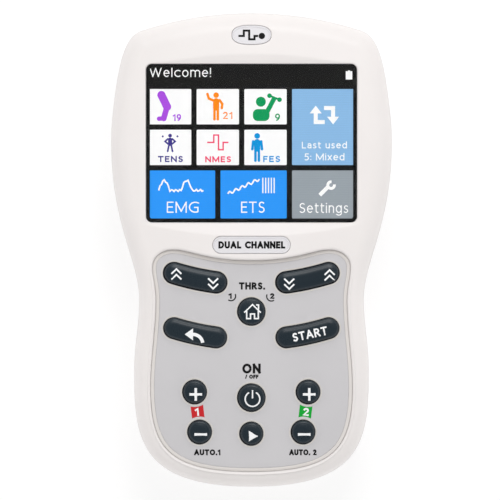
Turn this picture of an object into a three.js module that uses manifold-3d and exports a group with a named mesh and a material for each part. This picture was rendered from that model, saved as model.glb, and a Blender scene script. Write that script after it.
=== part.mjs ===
// A handheld two-channel electrotherapy (TENS) unit, lying on its back.
// Millimetres. +X is to the right of the face, +Y points to the socket end and +Z comes out of the face.
// The origin is on the surface it lies on, under the middle of its box.

import * as THREE from "three";
import { mergeVertices } from "three/addons/utils/BufferGeometryUtils.js";
import Module from "manifold-3d";

const wasm = await Module();
wasm.setup();

// ---------------------------------------------------------------- driving sizes

// The body's outline, seen on its face. Heights (Y) are measured from the middle of the body.
const LENGTH = 142.2;
const BULGE_WIDTH = 84.4;
const BULGE_Y = 33;
const WAIST_WIDTH = 67.5;
const WAIST_Y = -15;
const HIP_WIDTH = 70.5;
const HIP_Y = -36;
const END_ARC_RADIUS = 107;
const TOP_CORNER_IN = 9.2;
const SHOULDER_IN = 3.05;
const SHOULDER_DOWN = 14.1;

// The body's depth, its crowned front and its rounded edges.
const DEPTH = 30;
const CROWN_RADIUS_X = 380;
const CROWN_RADIUS_Y = 2600;
const CROWN_Y = 10;
const FRONT_EDGE_IN = 5.5;
const FRONT_EDGE_DROP = 7;
const BACK_EDGE_IN = 4;
const BACK_EDGE_RISE = 8;
const WALL = 2;
const PARTING_Z = 16;
const REVEAL = 0.35;
const REVEAL_HEIGHT = 0.5;
const REVEAL_CHAMFER = 0.2;

// Clearances.
const SPLIT_GAP = 0.3;
const SEAT_GAP = 0.1;
const LOOSE_GAP = 0.3;
const KEY_GAP = 0.35;

// Display window, in its flat recess.
const WINDOW_WIDTH = 63.2;
const WINDOW_HEIGHT = 47.5;
const WINDOW_CORNER = 1.8;
const WINDOW_Y = 32;
const WINDOW_THICKNESS = 1.4;
const WINDOW_LEDGE = 0.7;
const RECESS_SLOPE_RUN = 2.75;
const DECK_THICKNESS = 1.7;
const DECK_MARGIN = 4;

// Display module behind the window.
const PANEL_SIDE_BORDER = 1.9;
const PANEL_END_BORDER = 1.75;
const PANEL_THICKNESS = 2.7;
const FRAME_WALL = 1.2;
const FLEX_WIDTH = 20;
const FLEX_THICKNESS = 0.2;
const FLEX_REACH = 16;
const FLEX_TAIL = 5;
const HOLDER_CORNER = 1;
const HOLDER_LEDGE = 1.4;

// Pocket in the front and the face plate that lies in it.
const POCKET_TOP_Y = -2.9;
const POCKET_PEAK_X = 23.4;
const POCKET_PEAK_Y = 0.3;
const POCKET_SHOULDER_X = 29.9;
const POCKET_SHOULDER_Y = -5.5;
const POCKET_WAIST_X = 28.9;
const POCKET_HIP_X = 30.5;
const POCKET_HIP_Y = -41;
const POCKET_END_MARGIN = 4.4;
const POCKET_WALL_RUN = 1;
const POCKET_LEAN_RISE = 2;
const PLATE_DEPTH = 2.3;
const PLATE_THICKNESS = 1.6;
const PLATE_LEDGE = 1.1;

// Keys.
const KEY_PROUD = 1.1;
const KEY_EDGE = 0.6;
const KEY_DOME = 0.2;
const KEY_DOME_SHARE = 0.45;
const KEY_FLANGE = 0.6;
const FLANGE_THICKNESS = 0.8;
const KEY_TRAVEL = 0.8;
const ROCKER_DROP = 0.6;
const PLUNGER_RADIUS = 2.2;
const LONG_PLUNGER_RADIUS = 1.7;
const PILL_RADIUS = 1.6;
const PILL_THICKNESS = 0.4;
const PILL_CLEARANCE = 0.1;

// The long keys lie on arcs about a point high on the centre line; a row is named by its lowest point.
const ROW_RADIUS = 79;
const UPPER_ROW_Y = -10.35;
const LOWER_ROW_Y = -26.85;
const LONG_KEY_INNER_X = 10.5;
const LONG_KEY_OUTER_X = 23.15;
const LONG_KEY_RADIUS = 3.25;

// Round keys: place and diameter.
const ROUND_KEYS = [
  { name: "key_home", x: 0, y: -18.4, diameter: 8.5 },
  { name: "key_power", x: 0, y: -44.2, diameter: 8.5 },
  { name: "key_play", x: 0, y: -55, diameter: 7.2 },
  { name: "key_plus_1", x: -17, y: -42.5, diameter: 7.4 },
  { name: "key_minus_1", x: -15.5, y: -54.5, diameter: 7.4 },
  { name: "key_plus_2", x: 17, y: -42.5, diameter: 7.4 },
  { name: "key_minus_2", x: 15.5, y: -54.5, diameter: 7.4 },
];
const LONG_KEYS = [
  { name: "key_threshold_1", side: -1, rowY: UPPER_ROW_Y, rocks: true },
  { name: "key_threshold_2", side: 1, rowY: UPPER_ROW_Y, rocks: true },
  { name: "key_back", side: -1, rowY: LOWER_ROW_Y, rocks: false },
  { name: "key_start", side: 1, rowY: LOWER_ROW_Y, rocks: false },
];

// Badge and name plate on the front.
const BADGE_WIDTH = 11.7;
const BADGE_HEIGHT = 5.7;
const BADGE_FROM_END = 6.7;
const BADGE_THICKNESS = 0.8;
const BADGE_SINK = 0.1;
const NAME_PLATE_WIDTH = 23.2;
const NAME_PLATE_HEIGHT = 5.1;
const NAME_PLATE_Y = 1.5;
const NAME_PLATE_THICKNESS = 0.8;

// Rubber key mat and main board.
const MAT_THICKNESS = 1.6;
const MAT_INSET = 2.2;
const MAT_HOLE_CLEARANCE = 0.6;
const BOARD_THICKNESS = 1.6;
const BOARD_CLEARANCE = 0.8;
const CHIP_SIZE = 12;
const CHIP_HEIGHT = 1.4;
const CHIP_Y = 20;
const TRANSFORMER_WIDTH = 15;
const TRANSFORMER_LENGTH = 12;
const TRANSFORMER_HEIGHT = 9.5;
const TRANSFORMER_FLANGE = 1.5;
const TRANSFORMER_X = 20;
const TRANSFORMER_Y = 37;
const BUZZER_RADIUS = 6.5;
const BUZZER_HEIGHT = 5.5;
const BUZZER_HOLE_RADIUS = 1;
const BUZZER_Y = 41;

// Battery compartment, its cells and contacts.
const CELL_DIAMETER = 14.5;
const CELL_LENGTH = 50.5;
const CELL_NUB_RADIUS = 2.6;
const CELL_NUB_LENGTH = 1;
const CELL_EDGE = 0.8;
const CELL_SPACING_GAP = 0.2;
const CELL_COUNT = 4;
const BAY_TOP_Y = 3.8;
const BAY_WALL = 1.2;
const BAY_ROOF = 1.2;
const RIB_THICKNESS = 1.2;
const RIB_END_MARGIN = 4;
const SPRING_LENGTH = 4.6;
const SPRING_RADIUS = 2.8;
const SPRING_WIRE = 0.7;
const SPRING_TURNS = 3;
const SPRING_TAPER = 1.2;
const CONTACT_THICKNESS = 0.4;
const CONTACT_WIDTH = 9;
const CONTACT_HEIGHT = 9;

// Battery door, which slides off the bottom end.
const DOOR_HALF_WIDTH = 28;
const DOOR_THICKNESS = 1.6;
const DOOR_RECESS = 0.2;
const DOOR_TONGUE_WIDTH = 1.2;
const DOOR_TONGUE_THICKNESS = 0.8;
const DOOR_TOP_OVERLAP = 0.6;
const DOOR_GAP = 0.25;
const DOOR_RAIL_END_Y = -52;
const DOOR_LIP_HALF_WIDTH = 21;
const DOOR_LIP_ROOT = 2;
const DOOR_LIP_CLEARANCE = 1;
const GRIP_COUNT = 5;
const GRIP_PITCH = 2.4;
const GRIP_WIDTH = 1.2;
const GRIP_DEPTH = 0.5;
const GRIP_LENGTH = 22;
const GRIP_Y = -4;
const SILL_THICKNESS = 1.6;
const UPPER_SILL_LENGTH = 5;
const PAST_END = 5;

// Screws and their bosses.
const SCREW_RADIUS = 1.2;
const SCREW_HEAD_RADIUS = 2.3;
const SCREW_HEAD_HEIGHT = 1.8;
const SCREW_LENGTH = 19;
const SCREW_SLOT = 0.7;
const SCREW_HEAD_EDGE = 0.5;
const SCREW_POINT = 1.5;
const TOP_SCREW_HEAD_Z = 0.6;
const BOTTOM_SCREW_HEAD_Z = 2.4;
const BOSS_RADIUS = 3;
const TOP_SCREW_X = 24.5;
const TOP_SCREW_FROM_END = 8.8;
const BOTTOM_SCREW_X = 20;
const BOTTOM_SCREW_FROM_END = 7.3;

// Lead sockets in the top end.
const SOCKET_RADIUS = 3.4;
const SOCKET_FLANGE_RADIUS = 4;
const SOCKET_FLANGE_THICKNESS = 2;
const SOCKET_TAIL_ROOM = 4;
const SOCKET_LENGTH = 12;
const SOCKET_BORE_RADIUS = 1.2;
const SOCKET_BORE_DEPTH = 9;
const SOCKET_WELL_RADIUS = 2.6;
const SOCKET_WELL_DEPTH = 1.6;
const SOCKET_RECESS = 0.5;
const SOCKET_Z = 9.5;
const SOCKET_PITCH = 15;

// How finely round shapes are divided.
const ROUND_SIDES = 16;
const SMALL_SIDES = 10;
const CORNER_STEPS = 3;
const EDGE_STEPS = 3;

// ---------------------------------------------------------------- levels worked out from them

const END_Y = LENGTH / 2;
const BACK_TOP_Z = PARTING_Z - SPLIT_GAP / 2;
const FRONT_LOW_Z = PARTING_Z + SPLIT_GAP / 2;
const ABOVE = DEPTH + 5;
const BELOW = -5;

const WINDOW_TOP_Z = crown(WINDOW_WIDTH / 2, WINDOW_Y);
const WINDOW_SEAT_Z = WINDOW_TOP_Z - WINDOW_THICKNESS - SEAT_GAP;
const DECK_LOW_Z = WINDOW_SEAT_Z - DECK_THICKNESS;
const PLATE_TOP_Z = DEPTH - PLATE_DEPTH;
const PLATE_LOW_Z = PLATE_TOP_Z - PLATE_THICKNESS;
const PLATE_SEAT_Z = PLATE_LOW_Z - SEAT_GAP;
const KEY_TOP_Z = PLATE_TOP_Z + KEY_PROUD;
const FLANGE_TOP_Z = PLATE_LOW_Z - LOOSE_GAP;
const FLANGE_LOW_Z = FLANGE_TOP_Z - FLANGE_THICKNESS;
const MAT_TOP_Z = FLANGE_LOW_Z - KEY_TRAVEL - ROCKER_DROP - LOOSE_GAP;
const MAT_LOW_Z = MAT_TOP_Z - MAT_THICKNESS;
const BOARD_TOP_Z = MAT_LOW_Z - SEAT_GAP;
const BOARD_LOW_Z = BOARD_TOP_Z - BOARD_THICKNESS;
const PILL_LOW_Z = BOARD_TOP_Z + KEY_TRAVEL + PILL_CLEARANCE;
const PLUNGER_LOW_Z = PILL_LOW_Z + PILL_THICKNESS;
const PANEL_WIDTH = WINDOW_WIDTH + 2 * PANEL_SIDE_BORDER;
const PANEL_HEIGHT = WINDOW_HEIGHT + 2 * PANEL_END_BORDER;
const PANEL_TOP_Z = DECK_LOW_Z - LOOSE_GAP;
const PANEL_LOW_Z = PANEL_TOP_Z - PANEL_THICKNESS;
const GLASS_TOP_Z = WINDOW_SEAT_Z - SEAT_GAP;
const FRAME_LOW_Z = BOARD_TOP_Z + SEAT_GAP;

const DOOR_LOW_Z = DOOR_RECESS;
const DOOR_TOP_Z = DOOR_LOW_Z + DOOR_THICKNESS;
const DOOR_CUT_TOP_Z = DOOR_TOP_Z + DOOR_GAP;
const CELL_Z = DOOR_CUT_TOP_Z + LOOSE_GAP + CELL_DIAMETER / 2;
const CELL_PITCH = CELL_DIAMETER + CELL_SPACING_GAP;
const BAY_HALF_WIDTH = (CELL_PITCH * CELL_COUNT) / 2 + CELL_SPACING_GAP;
const BAY_LENGTH = CELL_LENGTH + SPRING_LENGTH + 2 * CONTACT_THICKNESS + 4 * SEAT_GAP;
const BAY_LOW_Y = BAY_TOP_Y - BAY_LENGTH;
const BAY_ROOF_Z = CELL_Z + CELL_DIAMETER / 2 + LOOSE_GAP;
const BAY_TOP_Z = BAY_ROOF_Z + BAY_ROOF;

const TOP_SCREWS = { y: END_Y - TOP_SCREW_FROM_END, headZ: TOP_SCREW_HEAD_Z };
const BOTTOM_SCREWS = { y: BOTTOM_SCREW_FROM_END - END_Y, headZ: BOTTOM_SCREW_HEAD_Z };
const SCREW_PLACES = [
  { name: "housing_screw_1", x: -TOP_SCREW_X, ...TOP_SCREWS },
  { name: "housing_screw_2", x: TOP_SCREW_X, ...TOP_SCREWS },
  { name: "housing_screw_3", x: -BOTTOM_SCREW_X, ...BOTTOM_SCREWS },
  { name: "housing_screw_4", x: BOTTOM_SCREW_X, ...BOTTOM_SCREWS },
];

// ---------------------------------------------------------------- solids and outlines

function vec(x, y) {
  return new THREE.Vector2(x, y);
}

// The crowned front's height: a parabola across the body and a flatter one along it.
function crown(x, y) {
  return DEPTH - (x * x) / (2 * CROWN_RADIUS_X) - (y - CROWN_Y) ** 2 / (2 * CROWN_RADIUS_Y);
}

function toSolid(geometry) {
  const bare = geometry.clone();
  bare.deleteAttribute("normal");
  bare.deleteAttribute("uv");
  const merged = mergeVertices(bare, 1e-4);
  const mesh = new wasm.Mesh({
    numProp: 3,
    vertProperties: merged.attributes.position.array,
    triVerts: new Uint32Array(merged.index.array),
  });
  return new wasm.Manifold(mesh);
}

function toGeometry(solid) {
  const mesh = solid.getMesh();
  const geometry = new THREE.BufferGeometry();
  geometry.setAttribute("position", new THREE.BufferAttribute(new Float32Array(mesh.vertProperties), 3));
  geometry.setIndex(new THREE.BufferAttribute(new Uint32Array(mesh.triVerts), 1));
  geometry.computeVertexNormals();
  return geometry;
}

function union(solids) {
  return solids.reduce((whole, piece) => whole.add(piece));
}

function cut(solid, cutters) {
  return cutters.reduce((rest, cutter) => rest.subtract(cutter), solid);
}

// Triangles that close a ring of points, facing up.
function capFaces(ring) {
  const flat = ring.map((p) => vec(p.x, p.y));
  return THREE.ShapeUtils.triangulateShape(flat, []).map(([a, b, c]) => {
    const area = (flat[b].x - flat[a].x) * (flat[c].y - flat[a].y)
      - (flat[c].x - flat[a].x) * (flat[b].y - flat[a].y);
    return area > 0 ? [a, b, c] : [a, c, b];
  });
}

// A closed skin over rings of equal length, the lowest first, each running anticlockwise seen from above.
// With an apex the last ring is closed by a fan up to that point.
function loft(rings, apex) {
  const sides = rings[0].length;
  const points = rings.flat();
  const faces = [];
  for (let k = 0; k < rings.length - 1; k += 1) {
    for (let i = 0; i < sides; i += 1) {
      const a = k * sides + i;
      const b = k * sides + ((i + 1) % sides);
      faces.push([a, b, b + sides], [a, b + sides, a + sides]);
    }
  }
  capFaces(rings[0]).forEach(([a, b, c]) => faces.push([a, c, b]));
  const last = (rings.length - 1) * sides;
  if (apex) {
    points.push(apex);
    for (let i = 0; i < sides; i += 1) {
      faces.push([last + i, last + ((i + 1) % sides), points.length - 1]);
    }
  } else {
    capFaces(rings[rings.length - 1]).forEach((face) => faces.push(face.map((i) => last + i)));
  }
  const geometry = new THREE.BufferGeometry();
  const numbers = points.flatMap((p) => [p.x, p.y, p.z]);
  geometry.setAttribute("position", new THREE.Float32BufferAttribute(numbers, 3));
  geometry.setIndex(faces.flat());
  return geometry;
}

// Lifts an outline into a ring at a height, or at a height worked out for each point.
function ringAt(outline, height) {
  const zOf = typeof height === "function" ? height : () => height;
  return outline.map((p, i) => new THREE.Vector3(p.x, p.y, zOf(p, i)));
}

function prism(outline, low, high) {
  return toSolid(loft([ringAt(outline, low), ringAt(outline, high)]));
}

function box(x0, x1, y0, y1, z0, z1) {
  const geometry = new THREE.BoxGeometry(x1 - x0, y1 - y0, z1 - z0);
  return toSolid(geometry.translate((x0 + x1) / 2, (y0 + y1) / 2, (z0 + z1) / 2));
}

function circle(x, y, radius, sides = ROUND_SIDES) {
  return Array.from({ length: sides }, (_, i) => {
    const turn = (2 * Math.PI * i) / sides;
    return vec(x + radius * Math.cos(turn), y + radius * Math.sin(turn));
  });
}

function pin(x, y, radius, low, high, sides = SMALL_SIDES) {
  return prism(circle(x, y, radius, sides), low, high);
}

function roundedRectangle(width, height, corner, cx, cy) {
  const points = [];
  const corners = [[1, -1, -90], [1, 1, 0], [-1, 1, 90], [-1, -1, 180]];
  corners.forEach(([sx, sy, start]) => {
    for (let k = 0; k <= CORNER_STEPS; k += 1) {
      const turn = THREE.MathUtils.degToRad(start + (90 * k) / CORNER_STEPS);
      const x = cx + sx * (width / 2 - corner) + corner * Math.cos(turn);
      const y = cy + sy * (height / 2 - corner) + corner * Math.sin(turn);
      points.push(vec(x, y));
    }
  });
  return points;
}

function ellipse(width, height, cx, cy) {
  return circle(0, 0, 1).map((p) => vec(cx + (p.x * width) / 2, cy + (p.y * height) / 2));
}

// Moves each point of an anticlockwise outline inwards, square to its neighbours.
function inset(outline, distance) {
  const count = outline.length;
  return outline.map((p, i) => {
    const before = outline[(i + count - 1) % count];
    const after = outline[(i + 1) % count];
    const along = vec(after.x - before.x, after.y - before.y).normalize();
    return vec(p.x - along.y * distance, p.y + along.x * distance);
  });
}

// Joins the curves of a right half, bottom centre first, to its mirror image.
function mirrored(curves) {
  const right = [curves[0].curve.getPoint(0)];
  curves.forEach(({ curve, steps }) => right.push(...curve.getPoints(steps).slice(1)));
  const left = right.slice(1, -1).map((p) => vec(-p.x, p.y)).reverse();
  return [...right, ...left];
}

// A curve from one place to the next, each with the handle that sets its direction there.
function bezier(steps, start, startHandle, endHandle, end) {
  const places = [start, startHandle, endHandle, end].map(([x, y]) => vec(x, y));
  return { curve: new THREE.CubicBezierCurve(...places), steps };
}

// The body's outline: a curved bottom end, hips, a waist, a wide chest and a shallow arc across the top.
function bodyOutline() {
  const hip = HIP_WIDTH / 2;
  const waist = WAIST_WIDTH / 2;
  const bulge = BULGE_WIDTH / 2;
  const cornerX = bulge - TOP_CORNER_IN;
  const cornerY = topEdge(cornerX);
  const cornerSlope = cornerX / (cornerY - END_Y + END_ARC_RADIUS);
  const shoulderX = bulge - SHOULDER_IN;
  const shoulderY = END_Y - SHOULDER_DOWN;
  const third = cornerX / 3;
  return mirrored([
    bezier(8, [0, -END_Y], [34.5, -END_Y], [hip, HIP_Y - 20], [hip, HIP_Y]),
    bezier(3, [hip, HIP_Y], [hip, HIP_Y + 7.5], [waist, WAIST_Y - 7.5], [waist, WAIST_Y]),
    bezier(6, [waist, WAIST_Y], [waist, WAIST_Y + 12], [bulge, BULGE_Y - 26], [bulge, BULGE_Y]),
    bezier(
      2,
      [bulge, BULGE_Y],
      [bulge, BULGE_Y + 6],
      [shoulderX + 1.4, shoulderY - 5],
      [shoulderX, shoulderY],
    ),
    bezier(
      4,
      [shoulderX, shoulderY],
      [shoulderX - 1.4, shoulderY + 5],
      [cornerX + 3, cornerY - 3 * cornerSlope],
      [cornerX, cornerY],
    ),
    bezier(
      3,
      [cornerX, cornerY],
      [cornerX - third, cornerY + third * cornerSlope],
      [third, END_Y],
      [0, END_Y],
    ),
  ]);
}

// The arc across the top end.
function topEdge(x) {
  return END_Y - END_ARC_RADIUS + Math.sqrt(END_ARC_RADIUS ** 2 - x * x);
}

// The pocket's outline, where its soft wall meets the front.
function pocketOutline() {
  const endY = POCKET_END_MARGIN - END_Y;
  const hip = POCKET_HIP_X;
  const waist = POCKET_WAIST_X;
  const shoulder = POCKET_SHOULDER_X;
  const peak = POCKET_PEAK_X;
  return mirrored([
    bezier(7, [0, endY], [24.5, endY], [hip, POCKET_HIP_Y - 19], [hip, POCKET_HIP_Y]),
    bezier(4, [hip, POCKET_HIP_Y], [hip, POCKET_HIP_Y + 9], [waist, WAIST_Y - 9], [waist, WAIST_Y]),
    bezier(
      2,
      [waist, WAIST_Y],
      [waist, WAIST_Y + 4],
      [shoulder, POCKET_SHOULDER_Y - 3],
      [shoulder, POCKET_SHOULDER_Y],
    ),
    bezier(
      5,
      [shoulder, POCKET_SHOULDER_Y],
      [shoulder + 0.2, POCKET_SHOULDER_Y + 3.4],
      [peak + 3.8, POCKET_PEAK_Y],
      [peak, POCKET_PEAK_Y],
    ),
    bezier(6, [peak, POCKET_PEAK_Y], [peak - 5, POCKET_PEAK_Y], [14, POCKET_TOP_Y], [0, POCKET_TOP_Y]),
  ]);
}

// A bent capsule of the given radius along a row's arc, on the right (side 1) or the left (side -1).
function arcCapsule(rowY, side, radius) {
  const centreY = rowY + ROW_RADIUS;
  const from = Math.asin(LONG_KEY_INNER_X / ROW_RADIUS);
  const to = Math.asin(LONG_KEY_OUTER_X / ROW_RADIUS);
  const arcSteps = 3;
  const capSteps = 6;
  const points = [];
  const onRow = (turn, reach) => vec(reach * Math.sin(turn), centreY - reach * Math.cos(turn));
  for (let k = 0; k <= arcSteps; k += 1) {
    points.push(onRow(from + ((to - from) * k) / arcSteps, ROW_RADIUS + radius));
  }
  const addCap = (turn, start) => {
    const middle = onRow(turn, ROW_RADIUS);
    for (let k = 1; k < capSteps; k += 1) {
      const angle = turn + start + (Math.PI * k) / capSteps;
      points.push(vec(middle.x + radius * Math.cos(angle), middle.y + radius * Math.sin(angle)));
    }
  };
  addCap(to, -Math.PI / 2);
  for (let k = arcSteps; k >= 0; k -= 1) {
    points.push(onRow(from + ((to - from) * k) / arcSteps, ROW_RADIUS - radius));
  }
  addCap(from, Math.PI / 2);
  return side > 0 ? points : points.map((p) => vec(-p.x, p.y)).reverse();
}

// The middle of a row's key, or the middle of one of its rounded ends.
function rowPoint(rowY, side, x) {
  return vec(side * x, rowY + ROW_RADIUS - Math.sqrt(ROW_RADIUS ** 2 - x * x));
}

// ---------------------------------------------------------------- housings

const BODY = bodyOutline();
const POCKET = pocketOutline();
const PLATE = inset(POCKET, POCKET_WALL_RUN);

// The front half's outer form, or its hollow when a wall thickness is given.
// The edge is a quarter ellipse that ends level with the crown.
function frontForm(wall) {
  const crownRing = inset(BODY, FRONT_EDGE_IN);
  const edgeRing = (turn) => {
    const inwards = FRONT_EDGE_IN - (FRONT_EDGE_IN - wall) * Math.cos(turn);
    const drop = FRONT_EDGE_DROP - (FRONT_EDGE_DROP - wall) * Math.sin(turn);
    return ringAt(inset(BODY, inwards), (p, i) => crown(crownRing[i].x, crownRing[i].y) - drop);
  };
  const rings = [];
  if (wall > 0) {
    rings.push(ringAt(inset(BODY, wall), PARTING_Z - 1));
  } else {
    rings.push(ringAt(inset(BODY, REVEAL), FRONT_LOW_Z));
    rings.push(ringAt(inset(BODY, REVEAL), FRONT_LOW_Z + REVEAL_HEIGHT));
    rings.push(ringAt(BODY, FRONT_LOW_Z + REVEAL_HEIGHT + REVEAL_CHAMFER));
  }
  const steps = wall > 0 ? 2 : EDGE_STEPS;
  for (let k = 0; k <= steps; k += 1) {
    rings.push(edgeRing((Math.PI / 2) * (k / steps)));
  }
  [0.6, 0.3].forEach((share) => {
    const shrunk = crownRing.map((p) => vec(p.x * share, p.y * share));
    rings.push(ringAt(shrunk, (p) => crown(p.x, p.y) - wall));
  });
  return toSolid(loft(rings, new THREE.Vector3(0, 0, crown(0, 0) - wall)));
}

// The rear half's outer form, or its hollow when a wall thickness is given.
function rearForm(wall) {
  const rings = [];
  const steps = wall > 0 ? 2 : EDGE_STEPS;
  for (let k = steps; k >= 0; k -= 1) {
    const turn = (Math.PI / 2) * (k / steps);
    const inwards = BACK_EDGE_IN - (BACK_EDGE_IN - wall) * Math.cos(turn);
    rings.push(ringAt(inset(BODY, inwards), BACK_EDGE_RISE - (BACK_EDGE_RISE - wall) * Math.sin(turn)));
  }
  if (wall > 0) {
    rings.push(ringAt(inset(BODY, wall), PARTING_Z + 1));
  } else {
    rings.push(ringAt(BODY, BACK_TOP_Z - REVEAL_HEIGHT - REVEAL_CHAMFER));
    rings.push(ringAt(inset(BODY, REVEAL), BACK_TOP_Z - REVEAL_HEIGHT));
    rings.push(ringAt(inset(BODY, REVEAL), BACK_TOP_Z));
  }
  return toSolid(loft(rings));
}

// The front's flat recess for the window: level across, with a sloped bank above and below.
function recessCutter() {
  const low = WINDOW_Y - WINDOW_HEIGHT / 2 - LOOSE_GAP;
  const high = WINDOW_Y + WINDOW_HEIGHT / 2 + LOOSE_GAP;
  const rise = ABOVE - WINDOW_TOP_Z;
  const run = rise * RECESS_SLOPE_RUN;
  const wide = BULGE_WIDTH;
  const strip = (grow) => [
    vec(-wide, low - grow), vec(wide, low - grow), vec(wide, high + grow), vec(-wide, high + grow),
  ];
  return toSolid(loft([ringAt(strip(0), WINDOW_TOP_Z), ringAt(strip(run), ABOVE)]));
}

function windowOutline(grow) {
  return roundedRectangle(
    WINDOW_WIDTH + 2 * grow,
    WINDOW_HEIGHT + 2 * grow,
    Math.max(WINDOW_CORNER + grow, 0.5),
    0,
    WINDOW_Y,
  );
}

// The pocket's cutter: upright beside the plate, then a soft wall that leans out to the front.
function pocketCutter() {
  const beside = inset(PLATE, -SEAT_GAP);
  return toSolid(loft([
    ringAt(beside, PLATE_SEAT_Z),
    ringAt(beside, PLATE_TOP_Z),
    ringAt(POCKET, (p) => crown(p.x, p.y)),
    ringAt(inset(POCKET, -POCKET_WALL_RUN), (p) => crown(p.x, p.y) + POCKET_LEAN_RISE),
  ]));
}

function badgeY() {
  return END_Y - BADGE_FROM_END;
}

function badgeOutline(grow) {
  return ellipse(BADGE_WIDTH + 2 * grow, BADGE_HEIGHT + 2 * grow, 0, badgeY());
}

function badgeTopZ() {
  return crown(BADGE_WIDTH / 2, badgeY()) - BADGE_SINK;
}

function namePlateTopZ() {
  return crown(NAME_PLATE_WIDTH / 2, NAME_PLATE_Y);
}

function namePlateOutline(grow) {
  const height = NAME_PLATE_HEIGHT + 2 * grow;
  return roundedRectangle(NAME_PLATE_WIDTH + 2 * grow, height, height / 2 - 0.01, 0, NAME_PLATE_Y);
}

function frontHousing() {
  const outer = frontForm(0);
  const windowDeck = prism(windowOutline(DECK_MARGIN), DECK_LOW_Z, ABOVE);
  const plateDeck = prism(inset(POCKET, -POCKET_WALL_RUN), PLATE_SEAT_Z - PLATE_LEDGE, ABOVE);
  const bosses = SCREW_PLACES.map(({ x, y }) => pin(x, y, BOSS_RADIUS, FRONT_LOW_Z, ABOVE));
  const inside = union([windowDeck, plateDeck, ...bosses]).intersect(outer);
  return cut(outer.subtract(frontForm(WALL)).add(inside), [
    recessCutter(),
    prism(windowOutline(SEAT_GAP), WINDOW_SEAT_Z, ABOVE),
    prism(windowOutline(-WINDOW_LEDGE), BELOW, ABOVE),
    pocketCutter(),
    prism(inset(PLATE, PLATE_LEDGE), BELOW, ABOVE),
    prism(badgeOutline(SEAT_GAP), badgeTopZ() - BADGE_THICKNESS - SEAT_GAP, ABOVE),
    prism(namePlateOutline(SEAT_GAP), namePlateTopZ() - NAME_PLATE_THICKNESS - SEAT_GAP, ABOVE),
    ...SCREW_PLACES.map(({ x, y, headZ }) => (
      pin(x, y, SCREW_RADIUS + SEAT_GAP, BELOW, headZ + SCREW_LENGTH + LOOSE_GAP)
    )),
  ]);
}

// The battery bay's outer box, clipped to the body where the back edge is rounded.
function batteryBay(outer) {
  const x = BAY_HALF_WIDTH + BAY_WALL;
  const y0 = BAY_LOW_Y - BAY_WALL;
  const y1 = BAY_TOP_Y + BAY_WALL;
  const lower = box(-x, x, y0, y1, 0, BACK_TOP_Z).intersect(outer);
  return lower.add(box(-x, x, y0, y1, BACK_TOP_Z - 1, BAY_TOP_Z));
}

// Ribs on the bay's roof that hold the main board up.
function boardRibs() {
  const y0 = BAY_LOW_Y + RIB_END_MARGIN;
  const y1 = BAY_TOP_Y - RIB_END_MARGIN;
  return [-1, 1].map((side) => {
    const x = side * CELL_PITCH;
    const half = RIB_THICKNESS / 2;
    return box(x - half, x + half, y0, y1, BAY_TOP_Z - BAY_ROOF / 2, BOARD_LOW_Z - SEAT_GAP);
  });
}

// What the sliding door needs: a way out of the bottom end for its panel, tongues and top lip.
function doorCutters() {
  const half = DOOR_HALF_WIDTH + DOOR_GAP;
  const wide = half + DOOR_TONGUE_WIDTH;
  const tongueLow = DOOR_TOP_Z - DOOR_TONGUE_THICKNESS - DOOR_GAP;
  const lip = DOOR_LIP_HALF_WIDTH + DOOR_LIP_CLEARANCE;
  const topY = BAY_TOP_Y + DOOR_TOP_OVERLAP;
  const outY = -END_Y - PAST_END;
  return [
    box(-half, half, outY, topY + DOOR_GAP, BELOW, DOOR_CUT_TOP_Z),
    box(-wide, wide, outY, topY + DOOR_GAP, tongueLow, DOOR_CUT_TOP_Z),
    box(-lip, lip, 0, topY + DOOR_TONGUE_WIDTH + DOOR_GAP, tongueLow, DOOR_CUT_TOP_Z),
  ];
}

function rearHousing() {
  const outer = rearForm(0);
  const bosses = SCREW_PLACES.map(({ x, y }) => pin(x, y, BOSS_RADIUS, 0, BACK_TOP_Z).intersect(outer));
  const sillZ = DOOR_CUT_TOP_Z + SILL_THICKNESS;
  const lowerSill = box(-BULGE_WIDTH, BULGE_WIDTH, -END_Y, BAY_LOW_Y, 0, sillZ).intersect(outer);
  const bayHalf = BAY_HALF_WIDTH;
  const upperSill = box(-bayHalf, bayHalf, BAY_TOP_Y, BAY_TOP_Y + UPPER_SILL_LENGTH, 0, sillZ);
  const solid = union([
    outer.subtract(rearForm(WALL)), batteryBay(outer), lowerSill, upperSill, ...bosses, ...boardRibs(),
  ]);
  return cut(solid, [
    box(-bayHalf, bayHalf, BAY_LOW_Y, BAY_TOP_Y, DOOR_TOP_Z, BAY_ROOF_Z),
    ...doorCutters(),
    ...SCREW_PLACES.map(({ x, y, headZ }) => (
      pin(x, y, SCREW_HEAD_RADIUS + LOOSE_GAP, BELOW, headZ + SCREW_HEAD_HEIGHT + SEAT_GAP)
    )),
    ...SCREW_PLACES.map(({ x, y }) => pin(x, y, SCREW_RADIUS + LOOSE_GAP, BELOW, ABOVE)),
    ...SOCKETS.map(({ x }) => socketHole(x)),
  ]);
}

// ---------------------------------------------------------------- battery bay

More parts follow.
